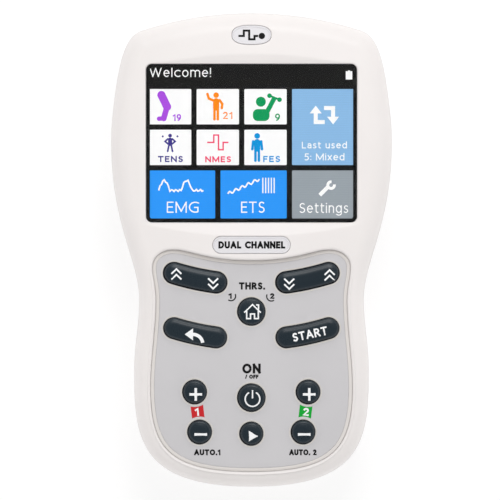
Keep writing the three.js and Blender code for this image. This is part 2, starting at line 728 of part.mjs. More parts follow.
function batteryDoor() {
  const outer = rearForm(0);
  const topY = BAY_TOP_Y + DOOR_TOP_OVERLAP;
  const half = DOOR_HALF_WIDTH;
  const wide = half + DOOR_TONGUE_WIDTH;
  const lip = DOOR_LIP_HALF_WIDTH;
  const tongueLow = DOOR_TOP_Z - DOOR_TONGUE_THICKNESS;
  const panel = union([
    box(-half, half, -END_Y - PAST_END, topY, DOOR_LOW_Z, DOOR_TOP_Z),
    box(-wide, wide, DOOR_RAIL_END_Y, topY, tongueLow, DOOR_TOP_Z),
    box(-lip, lip, topY - DOOR_LIP_ROOT, topY + DOOR_TONGUE_WIDTH, tongueLow, DOOR_TOP_Z),
  ]);
  const grips = Array.from({ length: GRIP_COUNT }, (_, k) => {
    const y = GRIP_Y - k * GRIP_PITCH;
    const [across, along] = [GRIP_LENGTH / 2, GRIP_WIDTH / 2];
    return box(-across, across, y - along, y + along, BELOW, DOOR_LOW_Z + GRIP_DEPTH);
  });
  return cut(panel.intersect(outer), grips);
}

// A cell along Y: a lathe turned about its own axis, with the nub at the far end.
function cellGeometry() {
  const r = CELL_DIAMETER / 2;
  const body = CELL_LENGTH - CELL_NUB_LENGTH;
  const profile = [
    vec(0, 0), vec(r - CELL_EDGE, 0), vec(r, CELL_EDGE), vec(r, body - CELL_EDGE), vec(r - CELL_EDGE, body),
    vec(CELL_NUB_RADIUS, body), vec(CELL_NUB_RADIUS, CELL_LENGTH), vec(0, CELL_LENGTH),
  ];
  return new THREE.LatheGeometry(profile, ROUND_SIDES);
}

// A helical contact spring that stands on its plate and narrows to its free end.
class SpringCurve extends THREE.Curve {
  getPoint(t, target = new THREE.Vector3()) {
    const turn = 2 * Math.PI * SPRING_TURNS * t;
    const radius = SPRING_RADIUS - SPRING_TAPER * t;
    const travel = SPRING_LENGTH - SPRING_WIRE - 2 * SEAT_GAP;
    const along = SPRING_WIRE / 2 + SEAT_GAP + travel * t;
    return target.set(radius * Math.cos(turn), along, radius * Math.sin(turn));
  }
}

function springGeometry() {
  const section = new THREE.Shape(circle(0, 0, SPRING_WIRE / 2, 5));
  return new THREE.ExtrudeGeometry(section, {
    steps: SPRING_TURNS * 6,
    curveSegments: 1,
    bevelEnabled: false,
    extrudePath: new SpringCurve(),
  });
}

// Cells 1 and 3 point to the top end and 2 and 4 to the bottom end; each has a spring behind it.
function cellPlaces() {
  const topY = BAY_TOP_Y - 2 * SEAT_GAP - CONTACT_THICKNESS;
  const lowY = BAY_LOW_Y + 2 * SEAT_GAP + CONTACT_THICKNESS;
  return Array.from({ length: CELL_COUNT }, (_, k) => {
    const x = (k - (CELL_COUNT - 1) / 2) * CELL_PITCH;
    const up = k % 2 === 0;
    const baseY = up ? topY - SEAT_GAP - CELL_LENGTH : lowY + SEAT_GAP + CELL_LENGTH;
    return { number: k + 1, x, up, baseY, springY: up ? lowY : topY };
  });
}

// The contact plates: links between neighbours at the bottom end, a link and two single ones at the top.
function contactPlates() {
  const half = CONTACT_WIDTH / 2;
  const link = CELL_PITCH / 2 + half;
  const top = BAY_TOP_Y - SEAT_GAP - CONTACT_THICKNESS;
  const low = BAY_LOW_Y + SEAT_GAP;
  return [
    { name: "contact_link_lower_1", x: -CELL_PITCH, half: link, y: low },
    { name: "contact_link_lower_2", x: CELL_PITCH, half: link, y: low },
    { name: "contact_link_upper", x: 0, half: link, y: top },
    { name: "contact_positive", x: -1.5 * CELL_PITCH, half, y: top },
    { name: "contact_negative", x: 1.5 * CELL_PITCH, half, y: top },
  ].map((plate) => ({
    name: plate.name,
    solid: box(plate.x - plate.half, plate.x + plate.half, plate.y, plate.y + CONTACT_THICKNESS,
      CELL_Z - CONTACT_HEIGHT / 2, CELL_Z + CONTACT_HEIGHT / 2),
  }));
}

// ---------------------------------------------------------------- sockets and screws

const SOCKETS = [
  { name: "lead_socket_1", x: -SOCKET_PITCH, colour: 0xc8282d },
  { name: "reference_socket", x: 0, colour: 0x16181a },
  { name: "lead_socket_2", x: SOCKET_PITCH, colour: 0x0aa83c },
];

// The round hole a socket goes into, from past the top end into the hollow.
function socketHole(x) {
  const radius = SOCKET_FLANGE_RADIUS + SEAT_GAP;
  const innerY = END_Y - SOCKET_LENGTH - SOCKET_TAIL_ROOM;
  const outerY = END_Y + PAST_END;
  const geometry = new THREE.CylinderGeometry(radius, radius, outerY - innerY, ROUND_SIDES);
  geometry.translate(x, (outerY + innerY) / 2, SOCKET_Z);
  return toSolid(geometry);
}

// A socket: a flanged barrel with a shallow well and a blind bore for the lead's pin, open at its face.
function socketGeometry() {
  const back = -SOCKET_LENGTH;
  const collar = -SOCKET_FLANGE_THICKNESS;
  return new THREE.LatheGeometry([
    vec(0, back), vec(SOCKET_RADIUS, back), vec(SOCKET_RADIUS, collar), vec(SOCKET_FLANGE_RADIUS, collar),
    vec(SOCKET_FLANGE_RADIUS, 0), vec(SOCKET_WELL_RADIUS, 0), vec(SOCKET_WELL_RADIUS, -SOCKET_WELL_DEPTH),
    vec(SOCKET_BORE_RADIUS, -SOCKET_WELL_DEPTH), vec(SOCKET_BORE_RADIUS, -SOCKET_BORE_DEPTH),
    vec(0, -SOCKET_BORE_DEPTH),
  ], ROUND_SIDES);
}

// A pan-head screw, its slotted head down and its pointed end up.
function screwSolid() {
  const tip = SCREW_LENGTH;
  const body = new THREE.LatheGeometry([
    vec(0, 0), vec(SCREW_HEAD_RADIUS - SCREW_HEAD_EDGE, 0), vec(SCREW_HEAD_RADIUS, SCREW_HEAD_EDGE),
    vec(SCREW_HEAD_RADIUS, SCREW_HEAD_HEIGHT), vec(SCREW_RADIUS, SCREW_HEAD_HEIGHT),
    vec(SCREW_RADIUS, tip - SCREW_POINT), vec(0, tip),
  ], SMALL_SIDES).rotateX(Math.PI / 2);
  const half = SCREW_SLOT / 2;
  const reach = SCREW_HEAD_RADIUS * 0.6;
  return cut(toSolid(body), [
    box(-reach, reach, -half, half, -1, SCREW_SLOT),
    box(-half, half, -reach, reach, -1, SCREW_SLOT),
  ]);
}

// ---------------------------------------------------------------- face plate, keys and mat

function throughHole(outline) {
  return prism(outline, BELOW, ABOVE);
}

function facePlate() {
  const holes = [
    ...ROUND_KEYS.map(({ x, y, diameter }) => circle(x, y, diameter / 2 + KEY_GAP, ROUND_SIDES)),
    ...LONG_KEYS.map(({ rowY, side }) => arcCapsule(rowY, side, LONG_KEY_RADIUS + KEY_GAP)),
  ];
  return cut(prism(PLATE, PLATE_LOW_Z, PLATE_TOP_Z), holes.map(throughHole));
}

// A key from a function that gives its outline at a radius: plunger, hidden flange, shank and domed top.
function keySolid(outlineAt, radius, plungerRadius, drop) {
  const levels = [
    [plungerRadius, PLUNGER_LOW_Z],
    [plungerRadius, FLANGE_LOW_Z - drop],
    [radius + KEY_FLANGE, FLANGE_LOW_Z - drop],
    [radius + KEY_FLANGE, FLANGE_TOP_Z - drop],
    [radius, FLANGE_TOP_Z - drop],
    [radius, KEY_TOP_Z - KEY_EDGE],
    [radius - KEY_EDGE * 0.3, KEY_TOP_Z - KEY_EDGE * 0.3],
    [radius - KEY_EDGE, KEY_TOP_Z],
    [radius * KEY_DOME_SHARE, KEY_TOP_Z + KEY_DOME],
  ];
  return loft(levels.map(([r, z]) => ringAt(outlineAt(r), z)));
}

// Where the contact pills sit: one under each press key's middle, one under each end of a rocker.
function pillPlaces() {
  const places = ROUND_KEYS.map(({ name, x, y }) => ({ name: name.replace("key_", "pill_"), x, y }));
  const middle = (LONG_KEY_INNER_X + LONG_KEY_OUTER_X) / 2;
  LONG_KEYS.forEach(({ name, side, rowY, rocks }) => {
    const spots = rocks
      ? [["_inner", LONG_KEY_INNER_X], ["_outer", LONG_KEY_OUTER_X]]
      : [["", middle]];
    spots.forEach(([suffix, x]) => {
      const at = rowPoint(rowY, side, x);
      places.push({ name: name.replace("key_", "pill_") + suffix, x: at.x, y: at.y });
    });
  });
  return places;
}

function keypadMat() {
  const roundHole = PLUNGER_RADIUS + MAT_HOLE_CLEARANCE;
  const longHole = LONG_PLUNGER_RADIUS + MAT_HOLE_CLEARANCE;
  const holes = [
    ...ROUND_KEYS.map(({ x, y }) => circle(x, y, roundHole, SMALL_SIDES)),
    ...LONG_KEYS.map(({ rowY, side }) => arcCapsule(rowY, side, longHole)),
  ];
  return cut(prism(inset(PLATE, MAT_INSET), MAT_LOW_Z, MAT_TOP_Z), holes.map(throughHole));
}

// ---------------------------------------------------------------- board and display

function mainBoard() {
  const sheet = prism(inset(BODY, WALL + BOARD_CLEARANCE), BOARD_LOW_Z, BOARD_TOP_Z);
  return cut(sheet, SCREW_PLACES.map(({ x, y }) => pin(x, y, BOSS_RADIUS + LOOSE_GAP, BELOW, ABOVE)));
}

// A part hung under the board, as a box about a centre.
function underBoard(x, y, width, length, height) {
  const top = BOARD_LOW_Z - SEAT_GAP;
  return box(x - width / 2, x + width / 2, y - length / 2, y + length / 2, top - height, top);
}

// A step-up transformer: a wound bobbin between two flanges, in a core.
function transformer(side) {
  const hang = (width, length, height, along = 0) => (
    underBoard(side * TRANSFORMER_X, TRANSFORMER_Y + along, width, length, height)
  );
  const flangeY = (TRANSFORMER_LENGTH - TRANSFORMER_FLANGE) / 2;
  return union([
    hang(TRANSFORMER_WIDTH, TRANSFORMER_LENGTH - 4, TRANSFORMER_HEIGHT),
    hang(TRANSFORMER_WIDTH - 5, TRANSFORMER_LENGTH, TRANSFORMER_HEIGHT - 2),
    hang(TRANSFORMER_WIDTH - 2, TRANSFORMER_FLANGE, TRANSFORMER_HEIGHT - 1, flangeY),
    hang(TRANSFORMER_WIDTH - 2, TRANSFORMER_FLANGE, TRANSFORMER_HEIGHT - 1, -flangeY),
  ]);
}

function buzzer() {
  const top = BOARD_LOW_Z - SEAT_GAP;
  const can = pin(0, BUZZER_Y, BUZZER_RADIUS, top - BUZZER_HEIGHT, top, ROUND_SIDES);
  return can.subtract(pin(0, BUZZER_Y, BUZZER_HOLE_RADIUS, BELOW, top - BUZZER_HEIGHT / 2));
}

function centredRectangle(width, height, corner) {
  return roundedRectangle(width, height, corner, 0, WINDOW_Y);
}

function displayPanel() {
  const glassOutline = windowOutline(-WINDOW_LEDGE - LOOSE_GAP);
  return union([
    prism(centredRectangle(PANEL_WIDTH, PANEL_HEIGHT, HOLDER_CORNER), PANEL_LOW_Z, PANEL_TOP_Z),
    prism(glassOutline, PANEL_LOW_Z, GLASS_TOP_Z),
  ]);
}

// The moulded frame that holds the panel by its edge, with a notch for the flex.
function displayFrame() {
  const width = PANEL_WIDTH + 2 * SEAT_GAP;
  const height = PANEL_HEIGHT + 2 * SEAT_GAP;
  const seatZ = PANEL_LOW_Z - SEAT_GAP;
  const around = (grow) => centredRectangle(width + 2 * grow, height + 2 * grow, HOLDER_CORNER);
  const notchX = FLEX_WIDTH / 2 + 1;
  const notchY = WINDOW_Y - height / 2;
  return cut(prism(around(FRAME_WALL), FRAME_LOW_Z, PANEL_TOP_Z), [
    prism(around(0), seatZ, ABOVE),
    prism(around(-HOLDER_LEDGE), BELOW, ABOVE),
    box(-notchX, notchX, notchY - 2 * FRAME_WALL, notchY + 2 * HOLDER_LEDGE, BELOW, seatZ),
  ]);
}

// The flex: a thin ribbon under the panel that steps down and runs out to the board.
function displayFlex() {
  const high = PANEL_LOW_Z - SEAT_GAP;
  const low = BOARD_TOP_Z + SEAT_GAP + FLEX_THICKNESS;
  const panelEdge = WINDOW_Y - PANEL_HEIGHT / 2;
  const bends = [[FLEX_REACH, high], [6, high], [4, low], [-FLEX_TAIL, low]];
  const top = bends.map(([along, z]) => vec(panelEdge + along, z));
  const under = top.map((p) => vec(p.x, p.y - FLEX_THICKNESS)).reverse();
  const shape = new THREE.Shape([...top, ...under]);
  const geometry = new THREE.ExtrudeGeometry(shape, { depth: FLEX_WIDTH, steps: 1, bevelEnabled: false });
  // The shape is drawn in (Y, Z) and drawn out along X.
  const turned = new THREE.Matrix4().makeBasis(
    new THREE.Vector3(0, 1, 0), new THREE.Vector3(0, 0, 1), new THREE.Vector3(1, 0, 0),
  );
  return geometry.applyMatrix4(turned).translate(-FLEX_WIDTH / 2, 0, 0);
}

// ---------------------------------------------------------------- finishes

function finish(color, roughness, metalness = 0) {
  return { color, roughness, metalness };
}

const FINISHES = {
  shell: finish(0xf1eeec, 0.45),
  plate: finish(0xcbc9cc, 0.6),
  key: finish(0x2a343b, 0.55),
  lens: finish(0x1c1c1c, 0.1),
  display: finish(0x262626, 0.25),
  holder: finish(0x2e2e30, 0.7),
  flex: finish(0xb5722a, 0.4),
  badge: finish(0xe9e7ec, 0.4),
  rubber: finish(0x8f9296, 0.85),
  carbon: finish(0x111111, 0.9),
  board: finish(0x1f6b3a, 0.5),
  chip: finish(0x18191b, 0.6),
  ferrite: finish(0x4a4a48, 0.7),
  cell: finish(0x2c5d8f, 0.35, 0.3),
  spring: finish(0xc9cacc, 0.25, 1),
  screw: finish(0xb9bbbe, 0.35, 1),
};

const unit = new THREE.Group();

// Adds a named node; a solid or a geometry, with its place where it isn't already in it.
function addNode(name, shape, look, place = {}) {
  const geometry = shape.isBufferGeometry ? shape : toGeometry(shape);
  const mesh = new THREE.Mesh(geometry, new THREE.MeshStandardMaterial(look));
  mesh.name = name;
  mesh.position.set(place.x ?? 0, place.y ?? 0, place.z ?? 0);
  mesh.rotation.z = place.turn ?? 0;
  unit.add(mesh);
}

// ---------------------------------------------------------------- the assembly

addNode("front_housing", frontHousing(), FINISHES.shell);
addNode("rear_housing", rearHousing(), FINISHES.shell);
addNode("battery_door", batteryDoor(), FINISHES.shell);
addNode("face_plate", facePlate(), FINISHES.plate);
addNode("display_window", prism(windowOutline(0), WINDOW_SEAT_Z + SEAT_GAP, WINDOW_TOP_Z), FINISHES.lens);
addNode("display_panel", displayPanel(), FINISHES.display);
addNode("display_frame", displayFrame(), FINISHES.holder);
addNode("display_flex", displayFlex(), FINISHES.flex);
addNode(
  "badge",
  prism(badgeOutline(0), badgeTopZ() - BADGE_THICKNESS, badgeTopZ()),
  FINISHES.badge,
);
addNode(
  "name_plate",
  prism(namePlateOutline(0), namePlateTopZ() - NAME_PLATE_THICKNESS, namePlateTopZ()),
  FINISHES.badge,
);
addNode("keypad_mat", keypadMat(), FINISHES.rubber);
addNode("main_board", mainBoard(), FINISHES.board);
addNode("controller_chip", underBoard(0, CHIP_Y, CHIP_SIZE, CHIP_SIZE, CHIP_HEIGHT), FINISHES.chip);
addNode("transformer_1", transformer(-1), FINISHES.ferrite);
addNode("transformer_2", transformer(1), FINISHES.ferrite);
addNode("buzzer", buzzer(), FINISHES.chip);

ROUND_KEYS.forEach(({ name, x, y, diameter }) => {
  const outlineAt = (radius) => circle(x, y, radius);
  addNode(name, keySolid(outlineAt, diameter / 2, PLUNGER_RADIUS, 0), FINISHES.key);
});
LONG_KEYS.forEach(({ name, side, rowY, rocks }) => {
  const outlineAt = (radius) => arcCapsule(rowY, side, radius);
  const drop = rocks ? ROCKER_DROP : 0;
  addNode(name, keySolid(outlineAt, LONG_KEY_RADIUS, LONG_PLUNGER_RADIUS, drop), FINISHES.key);
});
pillPlaces().forEach(({ name, x, y }) => {
  addNode(name, pin(x, y, PILL_RADIUS, PILL_LOW_Z, PLUNGER_LOW_Z - 0.05, SMALL_SIDES), FINISHES.carbon);
});

cellPlaces().forEach(({ number, x, up, baseY, springY }) => {
  const turn = up ? 0 : Math.PI;
  const cellPlace = { x, y: baseY, z: CELL_Z, turn };
  const springPlace = { x, y: springY, z: CELL_Z, turn };
  addNode(`battery_cell_${number}`, cellGeometry(), FINISHES.cell, cellPlace);
  addNode(`battery_spring_${number}`, springGeometry(), FINISHES.spring, springPlace);
});
contactPlates().forEach(({ name, solid }) => addNode(name, solid, FINISHES.spring));

SOCKETS.forEach(({ name, x, colour }) => {
  addNode(name, socketGeometry(), finish(colour, 0.4), { x, y: topEdge(x) - SOCKET_RECESS, z: SOCKET_Z });
});
SCREW_PLACES.forEach(({ name, x, y, headZ }) => {
  addNode(name, screwSolid(), FINISHES.screw, { x, y, z: headZ });
});

export default unit;
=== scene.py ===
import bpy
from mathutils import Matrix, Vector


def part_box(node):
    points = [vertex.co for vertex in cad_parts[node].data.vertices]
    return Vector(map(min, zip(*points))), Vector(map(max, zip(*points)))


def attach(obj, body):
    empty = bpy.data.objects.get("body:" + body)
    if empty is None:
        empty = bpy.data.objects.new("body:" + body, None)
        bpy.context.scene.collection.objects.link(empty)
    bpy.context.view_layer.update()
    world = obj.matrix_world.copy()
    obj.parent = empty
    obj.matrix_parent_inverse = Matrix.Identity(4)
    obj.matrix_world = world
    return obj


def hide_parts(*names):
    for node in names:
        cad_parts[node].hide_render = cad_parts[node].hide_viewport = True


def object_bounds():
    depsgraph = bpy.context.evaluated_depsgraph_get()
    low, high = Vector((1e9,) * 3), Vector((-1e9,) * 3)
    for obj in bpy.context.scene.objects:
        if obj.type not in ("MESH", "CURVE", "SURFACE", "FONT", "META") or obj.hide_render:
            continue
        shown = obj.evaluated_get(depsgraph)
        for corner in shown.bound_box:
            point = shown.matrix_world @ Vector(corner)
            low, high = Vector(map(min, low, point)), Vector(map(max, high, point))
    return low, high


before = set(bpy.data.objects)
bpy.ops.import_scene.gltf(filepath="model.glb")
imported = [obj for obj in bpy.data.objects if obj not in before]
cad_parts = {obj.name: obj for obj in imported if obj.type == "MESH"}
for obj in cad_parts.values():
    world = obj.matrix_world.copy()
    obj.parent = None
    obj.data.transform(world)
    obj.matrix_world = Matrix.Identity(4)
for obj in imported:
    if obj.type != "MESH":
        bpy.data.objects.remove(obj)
CAD_BOX = [list(corner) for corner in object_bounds()]

import math
import bmesh
import bpy
import numpy as np
from bpy.props import FloatProperty, FloatVectorProperty, IntProperty, PointerProperty
from mathutils.geometry import delaunay_2d_cdt

bl_info = {
    "name": "Handheld TENS Unit",
    "version": (1, 0, 0),
    "blender": (4, 5, 0),
    "location": "View3D > Sidebar > TENS Unit",
    "description": "Builds a handheld two-channel electrotherapy unit round its packed frame",
    "category": "Object",
}

MM = 0.001


def box_mm(node):
    """A frame node's lowest and highest corners, in millimetres."""
    return [np.array(corner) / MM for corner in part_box(node)]


def linear(red, green, blue):
    """A display colour from 0 to 255 as scene-linear light."""
    share = np.array([red, green, blue]) / 255
    return tuple(np.where(share <= 0.04045, share / 12.92, ((share + 0.055) / 1.055) ** 2.4))


# ---------------------------------------------------------------- sizes in millimetres

END_Y = CAD_BOX[1][1] / MM
HALF_WIDTH = CAD_BOX[1][0] / MM
DEPTH = 30.0
CROWN_X, CROWN_Y, CROWN_MID = 380.0, 2600.0, 10.0
EDGE_IN, EDGE_DROP = 5.5, 7.0
SHEET_IN = 3.1
BACK_IN, BACK_RISE = 4.0, 8.0
FRONT_LOW, REAR_TOP = 16.15, 15.85
REVEAL, REVEAL_HEIGHT = 0.35, 0.5
CEILING = 25.3
DOOR_HALF, RAIL_HALF, DOOR_END, DOOR_GAP = 28.0, 29.2, 4.4, 0.25
DOOR_TOP, RAIL_LOW = 2.05, 0.75
BAY_GAP, BAY_WALL = 0.3, 1.2
TOP_RADIUS = 107.0

SOCKET_TONES = {"lead_socket_1": "red", "reference_socket": "black", "lead_socket_2": "green"}

WINDOW_LOW, WINDOW_HIGH = box_mm("display_window")
WINDOW_MID = (WINDOW_LOW + WINDOW_HIGH) / 2
WINDOW_SIZE = WINDOW_HIGH - WINDOW_LOW
WINDOW_TOP = WINDOW_HIGH[2]
WINDOW_SEAT = WINDOW_LOW[2] - 0.1
SCREEN_Z = box_mm("display_panel")[1][2] + 0.02
BANK_RUN = 2.75
BANK_FOOT = WINDOW_SIZE[1] / 2 + 0.3

PLATE_TOP = box_mm("face_plate")[1][2]
PLATE_LOW = box_mm("face_plate")[0][2]
KEY_TOP = PLATE_TOP + 1.1
KEY_DOME = 0.2
KEY_INSET = 0.25
KEY_GAP = 0.0
ROCKER_GAP = 0.1
HOLE_SHIFT = (-0.07, -0.05)
PLATE_IN = 1.36
MITRE_LIMIT = 1.5
LETTER_SPACE = 0.15
MARK_SHIFT = (0.3, -0.75)
ROW_RADIUS = 79.0
LONG_RADIUS = 3.25
LONG_INNER, LONG_OUTER = 10.5, 23.15
UPPER_ROW, LOWER_ROW = -10.35, -26.85
ROUND_KEYS = ["key_home", "key_power", "key_play", "key_plus_1", "key_minus_1", "key_plus_2", "key_minus_2"]
LONG_KEYS = {
    "key_threshold_1": (UPPER_ROW, -1),
    "key_threshold_2": (UPPER_ROW, 1),
    "key_back": (LOWER_ROW, -1),
    "key_start": (LOWER_ROW, 1),
}


# ---------------------------------------------------------------- what a user may change


class TensSizes(bpy.types.PropertyGroup):
    """Sizes of the rounded edges and printed films."""

    key_edge: FloatProperty(
        name="Key edge", description="Radius round the top of each key",
        default=0.0008, unit="LENGTH")
    lip: FloatProperty(
        name="Pocket lip", description="Radius where the pocket meets the front",
        default=0.0006, unit="LENGTH")
    hole_chamfer: FloatProperty(
        name="Key hole chamfer", description="Width of the chamfer round each key hole",
        default=0.00032, unit="LENGTH")
    print_height: FloatProperty(
        name="Print height", description="How far printed marks stand proud",
        default=0.00003, unit="LENGTH")
    surface_pitch: FloatProperty(
        name="Surface pitch", description="Distance between points on the crowned front",
        default=0.0012, unit="LENGTH")
    outline_steps: IntProperty(
        name="Outline steps", description="Steps along the shortest curve of the body's outline",
        default=8, min=2)


class TensColours(bpy.types.PropertyGroup):
    """Colours of the finishes."""

    shell: FloatVectorProperty(
        name="Shell", description="White moulded housing",
        subtype="COLOR", default=linear(241, 236, 234))
    plate: FloatVectorProperty(
        name="Face plate", description="Grey plate under the keys",
        subtype="COLOR", default=linear(206, 204, 206))
    key: FloatVectorProperty(
        name="Keys", description="Charcoal keys",
        subtype="COLOR", default=linear(24, 38, 47))
    key_print: FloatVectorProperty(
        name="Key print", description="White marks on the keys",
        subtype="COLOR", default=linear(252, 253, 255))
    legend: FloatVectorProperty(
        name="Legends", description="Dark marks on the plate",
        subtype="COLOR", default=linear(8, 8, 10))
    channel_1: FloatVectorProperty(
        name="Channel 1", description="Red of the first channel",
        subtype="COLOR", default=linear(205, 40, 45))
    channel_2: FloatVectorProperty(
        name="Channel 2", description="Green of the second channel",
        subtype="COLOR", default=linear(14, 168, 52))
    badge: FloatVectorProperty(
        name="Badge", description="Badge and name plate",
        subtype="COLOR", default=linear(231, 229, 232))


def sizes(name):
    """A size from the panel, in millimetres."""
    return getattr(bpy.context.scene.tens_sizes, name) / MM


def colour(name):
    """One of the scene's own colours, by its property's name."""
    return tuple(getattr(bpy.context.scene.tens_colours, name))


# ---------------------------------------------------------------- outlines


def bezier(places, steps):
    """A cubic curve past its first place: the four places weighed by the Bernstein terms of t."""
    t = np.linspace(0, 1, steps + 1)[1:, None]
    p = np.array(places, float)
    return (1 - t) ** 3 * p[0] + 3 * t * (1 - t) ** 2 * p[1] + 3 * t * t * (1 - t) * p[2] + t**3 * p[3]


def mirrored(curves):
    """A closed anticlockwise outline: the right half's curves from the bottom, then their mirror image."""
    right = np.vstack([[curves[0][1][0]], *[bezier(places, steps) for steps, places in curves]])
    return np.vstack([right, right[-2:0:-1] * [-1, 1]])


def top_edge(x):
    """The arc across the top end."""
    return END_Y - TOP_RADIUS + np.sqrt(TOP_RADIUS**2 - x * x)


def body_outline():
    """The body seen on its face: bottom end, hips, waist, wide chest and a shallow arc across the top."""
    s = bpy.context.scene.tens_sizes.outline_steps
    corner = HALF_WIDTH - 9.2
    corner_y = float(top_edge(corner))
    slope = corner / (corner_y - END_Y + TOP_RADIUS)
    third = corner / 3
    return mirrored([
        (4 * s, [(0, -END_Y), (34.5, -END_Y), (35.25, -56), (35.25, -36)]),
        (2 * s, [(35.25, -36), (35.25, -28.5), (33.75, -22.5), (33.75, -15)]),
        (3 * s, [(33.75, -15), (33.75, -3), (HALF_WIDTH, 7), (HALF_WIDTH, 33)]),
        (s, [(HALF_WIDTH, 33), (HALF_WIDTH, 39), (40.55, 52), (39.15, 57)]),
        (2 * s, [(39.15, 57), (37.75, 62), (corner + 3, corner_y - 3 * slope), (corner, corner_y)]),
        (2 * s, [(corner, corner_y), (corner - third, corner_y + third * slope), (third, END_Y), (0, END_Y)]),
    ])


def pocket_outline():
    """The pocket for the face plate, where its lip meets the front."""
    s = bpy.context.scene.tens_sizes.outline_steps
    return mirrored([
        (3 * s, [(0, -66.7), (24.5, -66.7), (30.5, -60), (30.5, -41)]),
        (2 * s, [(30.5, -41), (30.5, -32), (28.9, -24), (28.9, -15)]),
        (s, [(28.9, -15), (28.9, -11), (29.9, -8.5), (29.9, -5.5)]),
        (2 * s, [(29.9, -5.5), (30.1, -2.1), (27.2, 0.3), (23.4, 0.3)]),
        (3 * s, [(23.4, 0.3), (18.4, 0.3), (14, -2.9), (0, -2.9)]),
    ])


def offset(outline, distance):
    """An anticlockwise outline moved outwards, each point square to its neighbours."""
    along = np.roll(outline, -1, 0) - np.roll(outline, 1, 0)
    along /= np.linalg.norm(along, axis=1, keepdims=True)
    return outline + distance * np.column_stack([along[:, 1], -along[:, 0]])


def circle(x, y, radius, sides=48):
    """A circle's places, counter-clockwise from its right."""
    turn = np.linspace(0, 2 * math.pi, sides, endpoint=False)
    return np.column_stack([x + radius * np.cos(turn), y + radius * np.sin(turn)])


def lozenge(x, y, width, height, sides=72):
    """A rounded oval, fuller than an ellipse: each coordinate goes as its circle's to the power 0.78."""
    flat = circle(0, 0, 1, sides)
    return np.sign(flat) * np.abs(flat) ** 0.78 * [width / 2, height / 2] + [x, y]


def rectangle(x0, y0, x1, y1, corner=0.0, steps=8):
    """A rectangle with quarter circles at its four corners, anticlockwise from the lower right."""
    if corner <= 0:
        return np.array([(x1, y0), (x1, y1), (x0, y1), (x0, y0)], float)
    turn = np.linspace(0, math.pi / 2, steps)
    arcs = []
    for cx, cy, start in [(x1, y0, -90), (x1, y1, 0), (x0, y1, 90), (x0, y0, 180)]:
        angle = turn + math.radians(start)
        mid = np.array([cx - corner if cx == x1 else cx + corner, cy - corner if cy == y1 else cy + corner])
        arcs.append(mid + corner * np.column_stack([np.cos(angle), np.sin(angle)]))
    return np.vstack(arcs)


def window_outline(grow, steps=8):
    """The window's rounded rectangle, grown or shrunk by a distance."""
    x0, y0 = WINDOW_LOW[:2] - grow
    x1, y1 = WINDOW_HIGH[:2] + grow
    return rectangle(x0, y0, x1, y1, max(1.8 + grow, 0.4), steps)


def row_place(row, side, x, reach=0.0):
    """A place on a row's arc, x from the centre line, moved out from the arc's centre by reach."""
    turn = np.arcsin(np.asarray(x, float) / ROW_RADIUS)
    far = ROW_RADIUS + reach
    x, y = side * far * np.sin(turn), row + ROW_RADIUS - far * np.cos(turn)
    return np.column_stack(np.broadcast_arrays(x, y))


def arc_capsule(row, side, radius, steps=12):
    """A bent capsule: the row's arc moved out and in by the radius, with half circles at its ends."""
    span = np.linspace(LONG_INNER, LONG_OUTER, steps + 1)
    outer, inner = row_place(row, 1, span, radius), row_place(row, 1, span[::-1], -radius)
    half = np.linspace(0, math.pi, 2 * steps + 1)[1:-1]
    ends = []
    for x, start in [(LONG_OUTER, -math.pi / 2), (LONG_INNER, math.pi / 2)]:
        angle = half + start + math.asin(x / ROW_RADIUS)
        ends.append(row_place(row, 1, x) + radius * np.column_stack([np.cos(angle), np.sin(angle)]))
    outline = np.vstack([outer, ends[0], inner, ends[1]])
    return outline if side > 0 else (outline * [-1, 1])[::-1]


def stroke(path, width):
    """A pen line's outline: the path moved half the width to each side, mitred at its bends."""
    p = np.array(path, float)
    along = np.diff(p, axis=0)
    along /= np.linalg.norm(along, axis=1, keepdims=True)
    square = np.column_stack([-along[:, 1], along[:, 0]])
    mitre = np.vstack([square[:1], (square[:-1] + square[1:]) / 2, square[-1:]])
    side = mitre / (mitre**2).sum(1, keepdims=True)
    side *= width / 2 * np.minimum(1, MITRE_LIMIT / np.linalg.norm(side, axis=1, keepdims=True))
    return np.vstack([p + side, (p - side)[::-1]])


def arc(x, y, radius, start, end, steps=24):
    """Points along part of a circle, angles in degrees."""
    turn = np.radians(np.linspace(start, end, steps + 1))
    return np.column_stack([x + radius * np.cos(turn), y + radius * np.sin(turn)])


def crown(points):
    """The front's height: a parabola across the body and a flatter one along it."""
    x, y = points[:, 0], points[:, 1]
    return DEPTH - x * x / (2 * CROWN_X) - (y - CROWN_MID) ** 2 / (2 * CROWN_Y)


# ---------------------------------------------------------------- lettering


def bow(x, y, wide, tall, start, end, steps=12):
    """Places along part of an ellipse, angles in degrees."""
    turn = np.radians(np.linspace(start, end, steps + 1))
    return list(zip(x + wide * np.cos(turn), y + tall * np.sin(turn)))


ROUND = [bow(0.23, 0.37, 0.23, 0.37, 0, 360, 20)]
ARCH = [(0, 0.46), *bow(0.2, 0.5, 0.2, 0.24, 180, 0), (0.4, 0)]
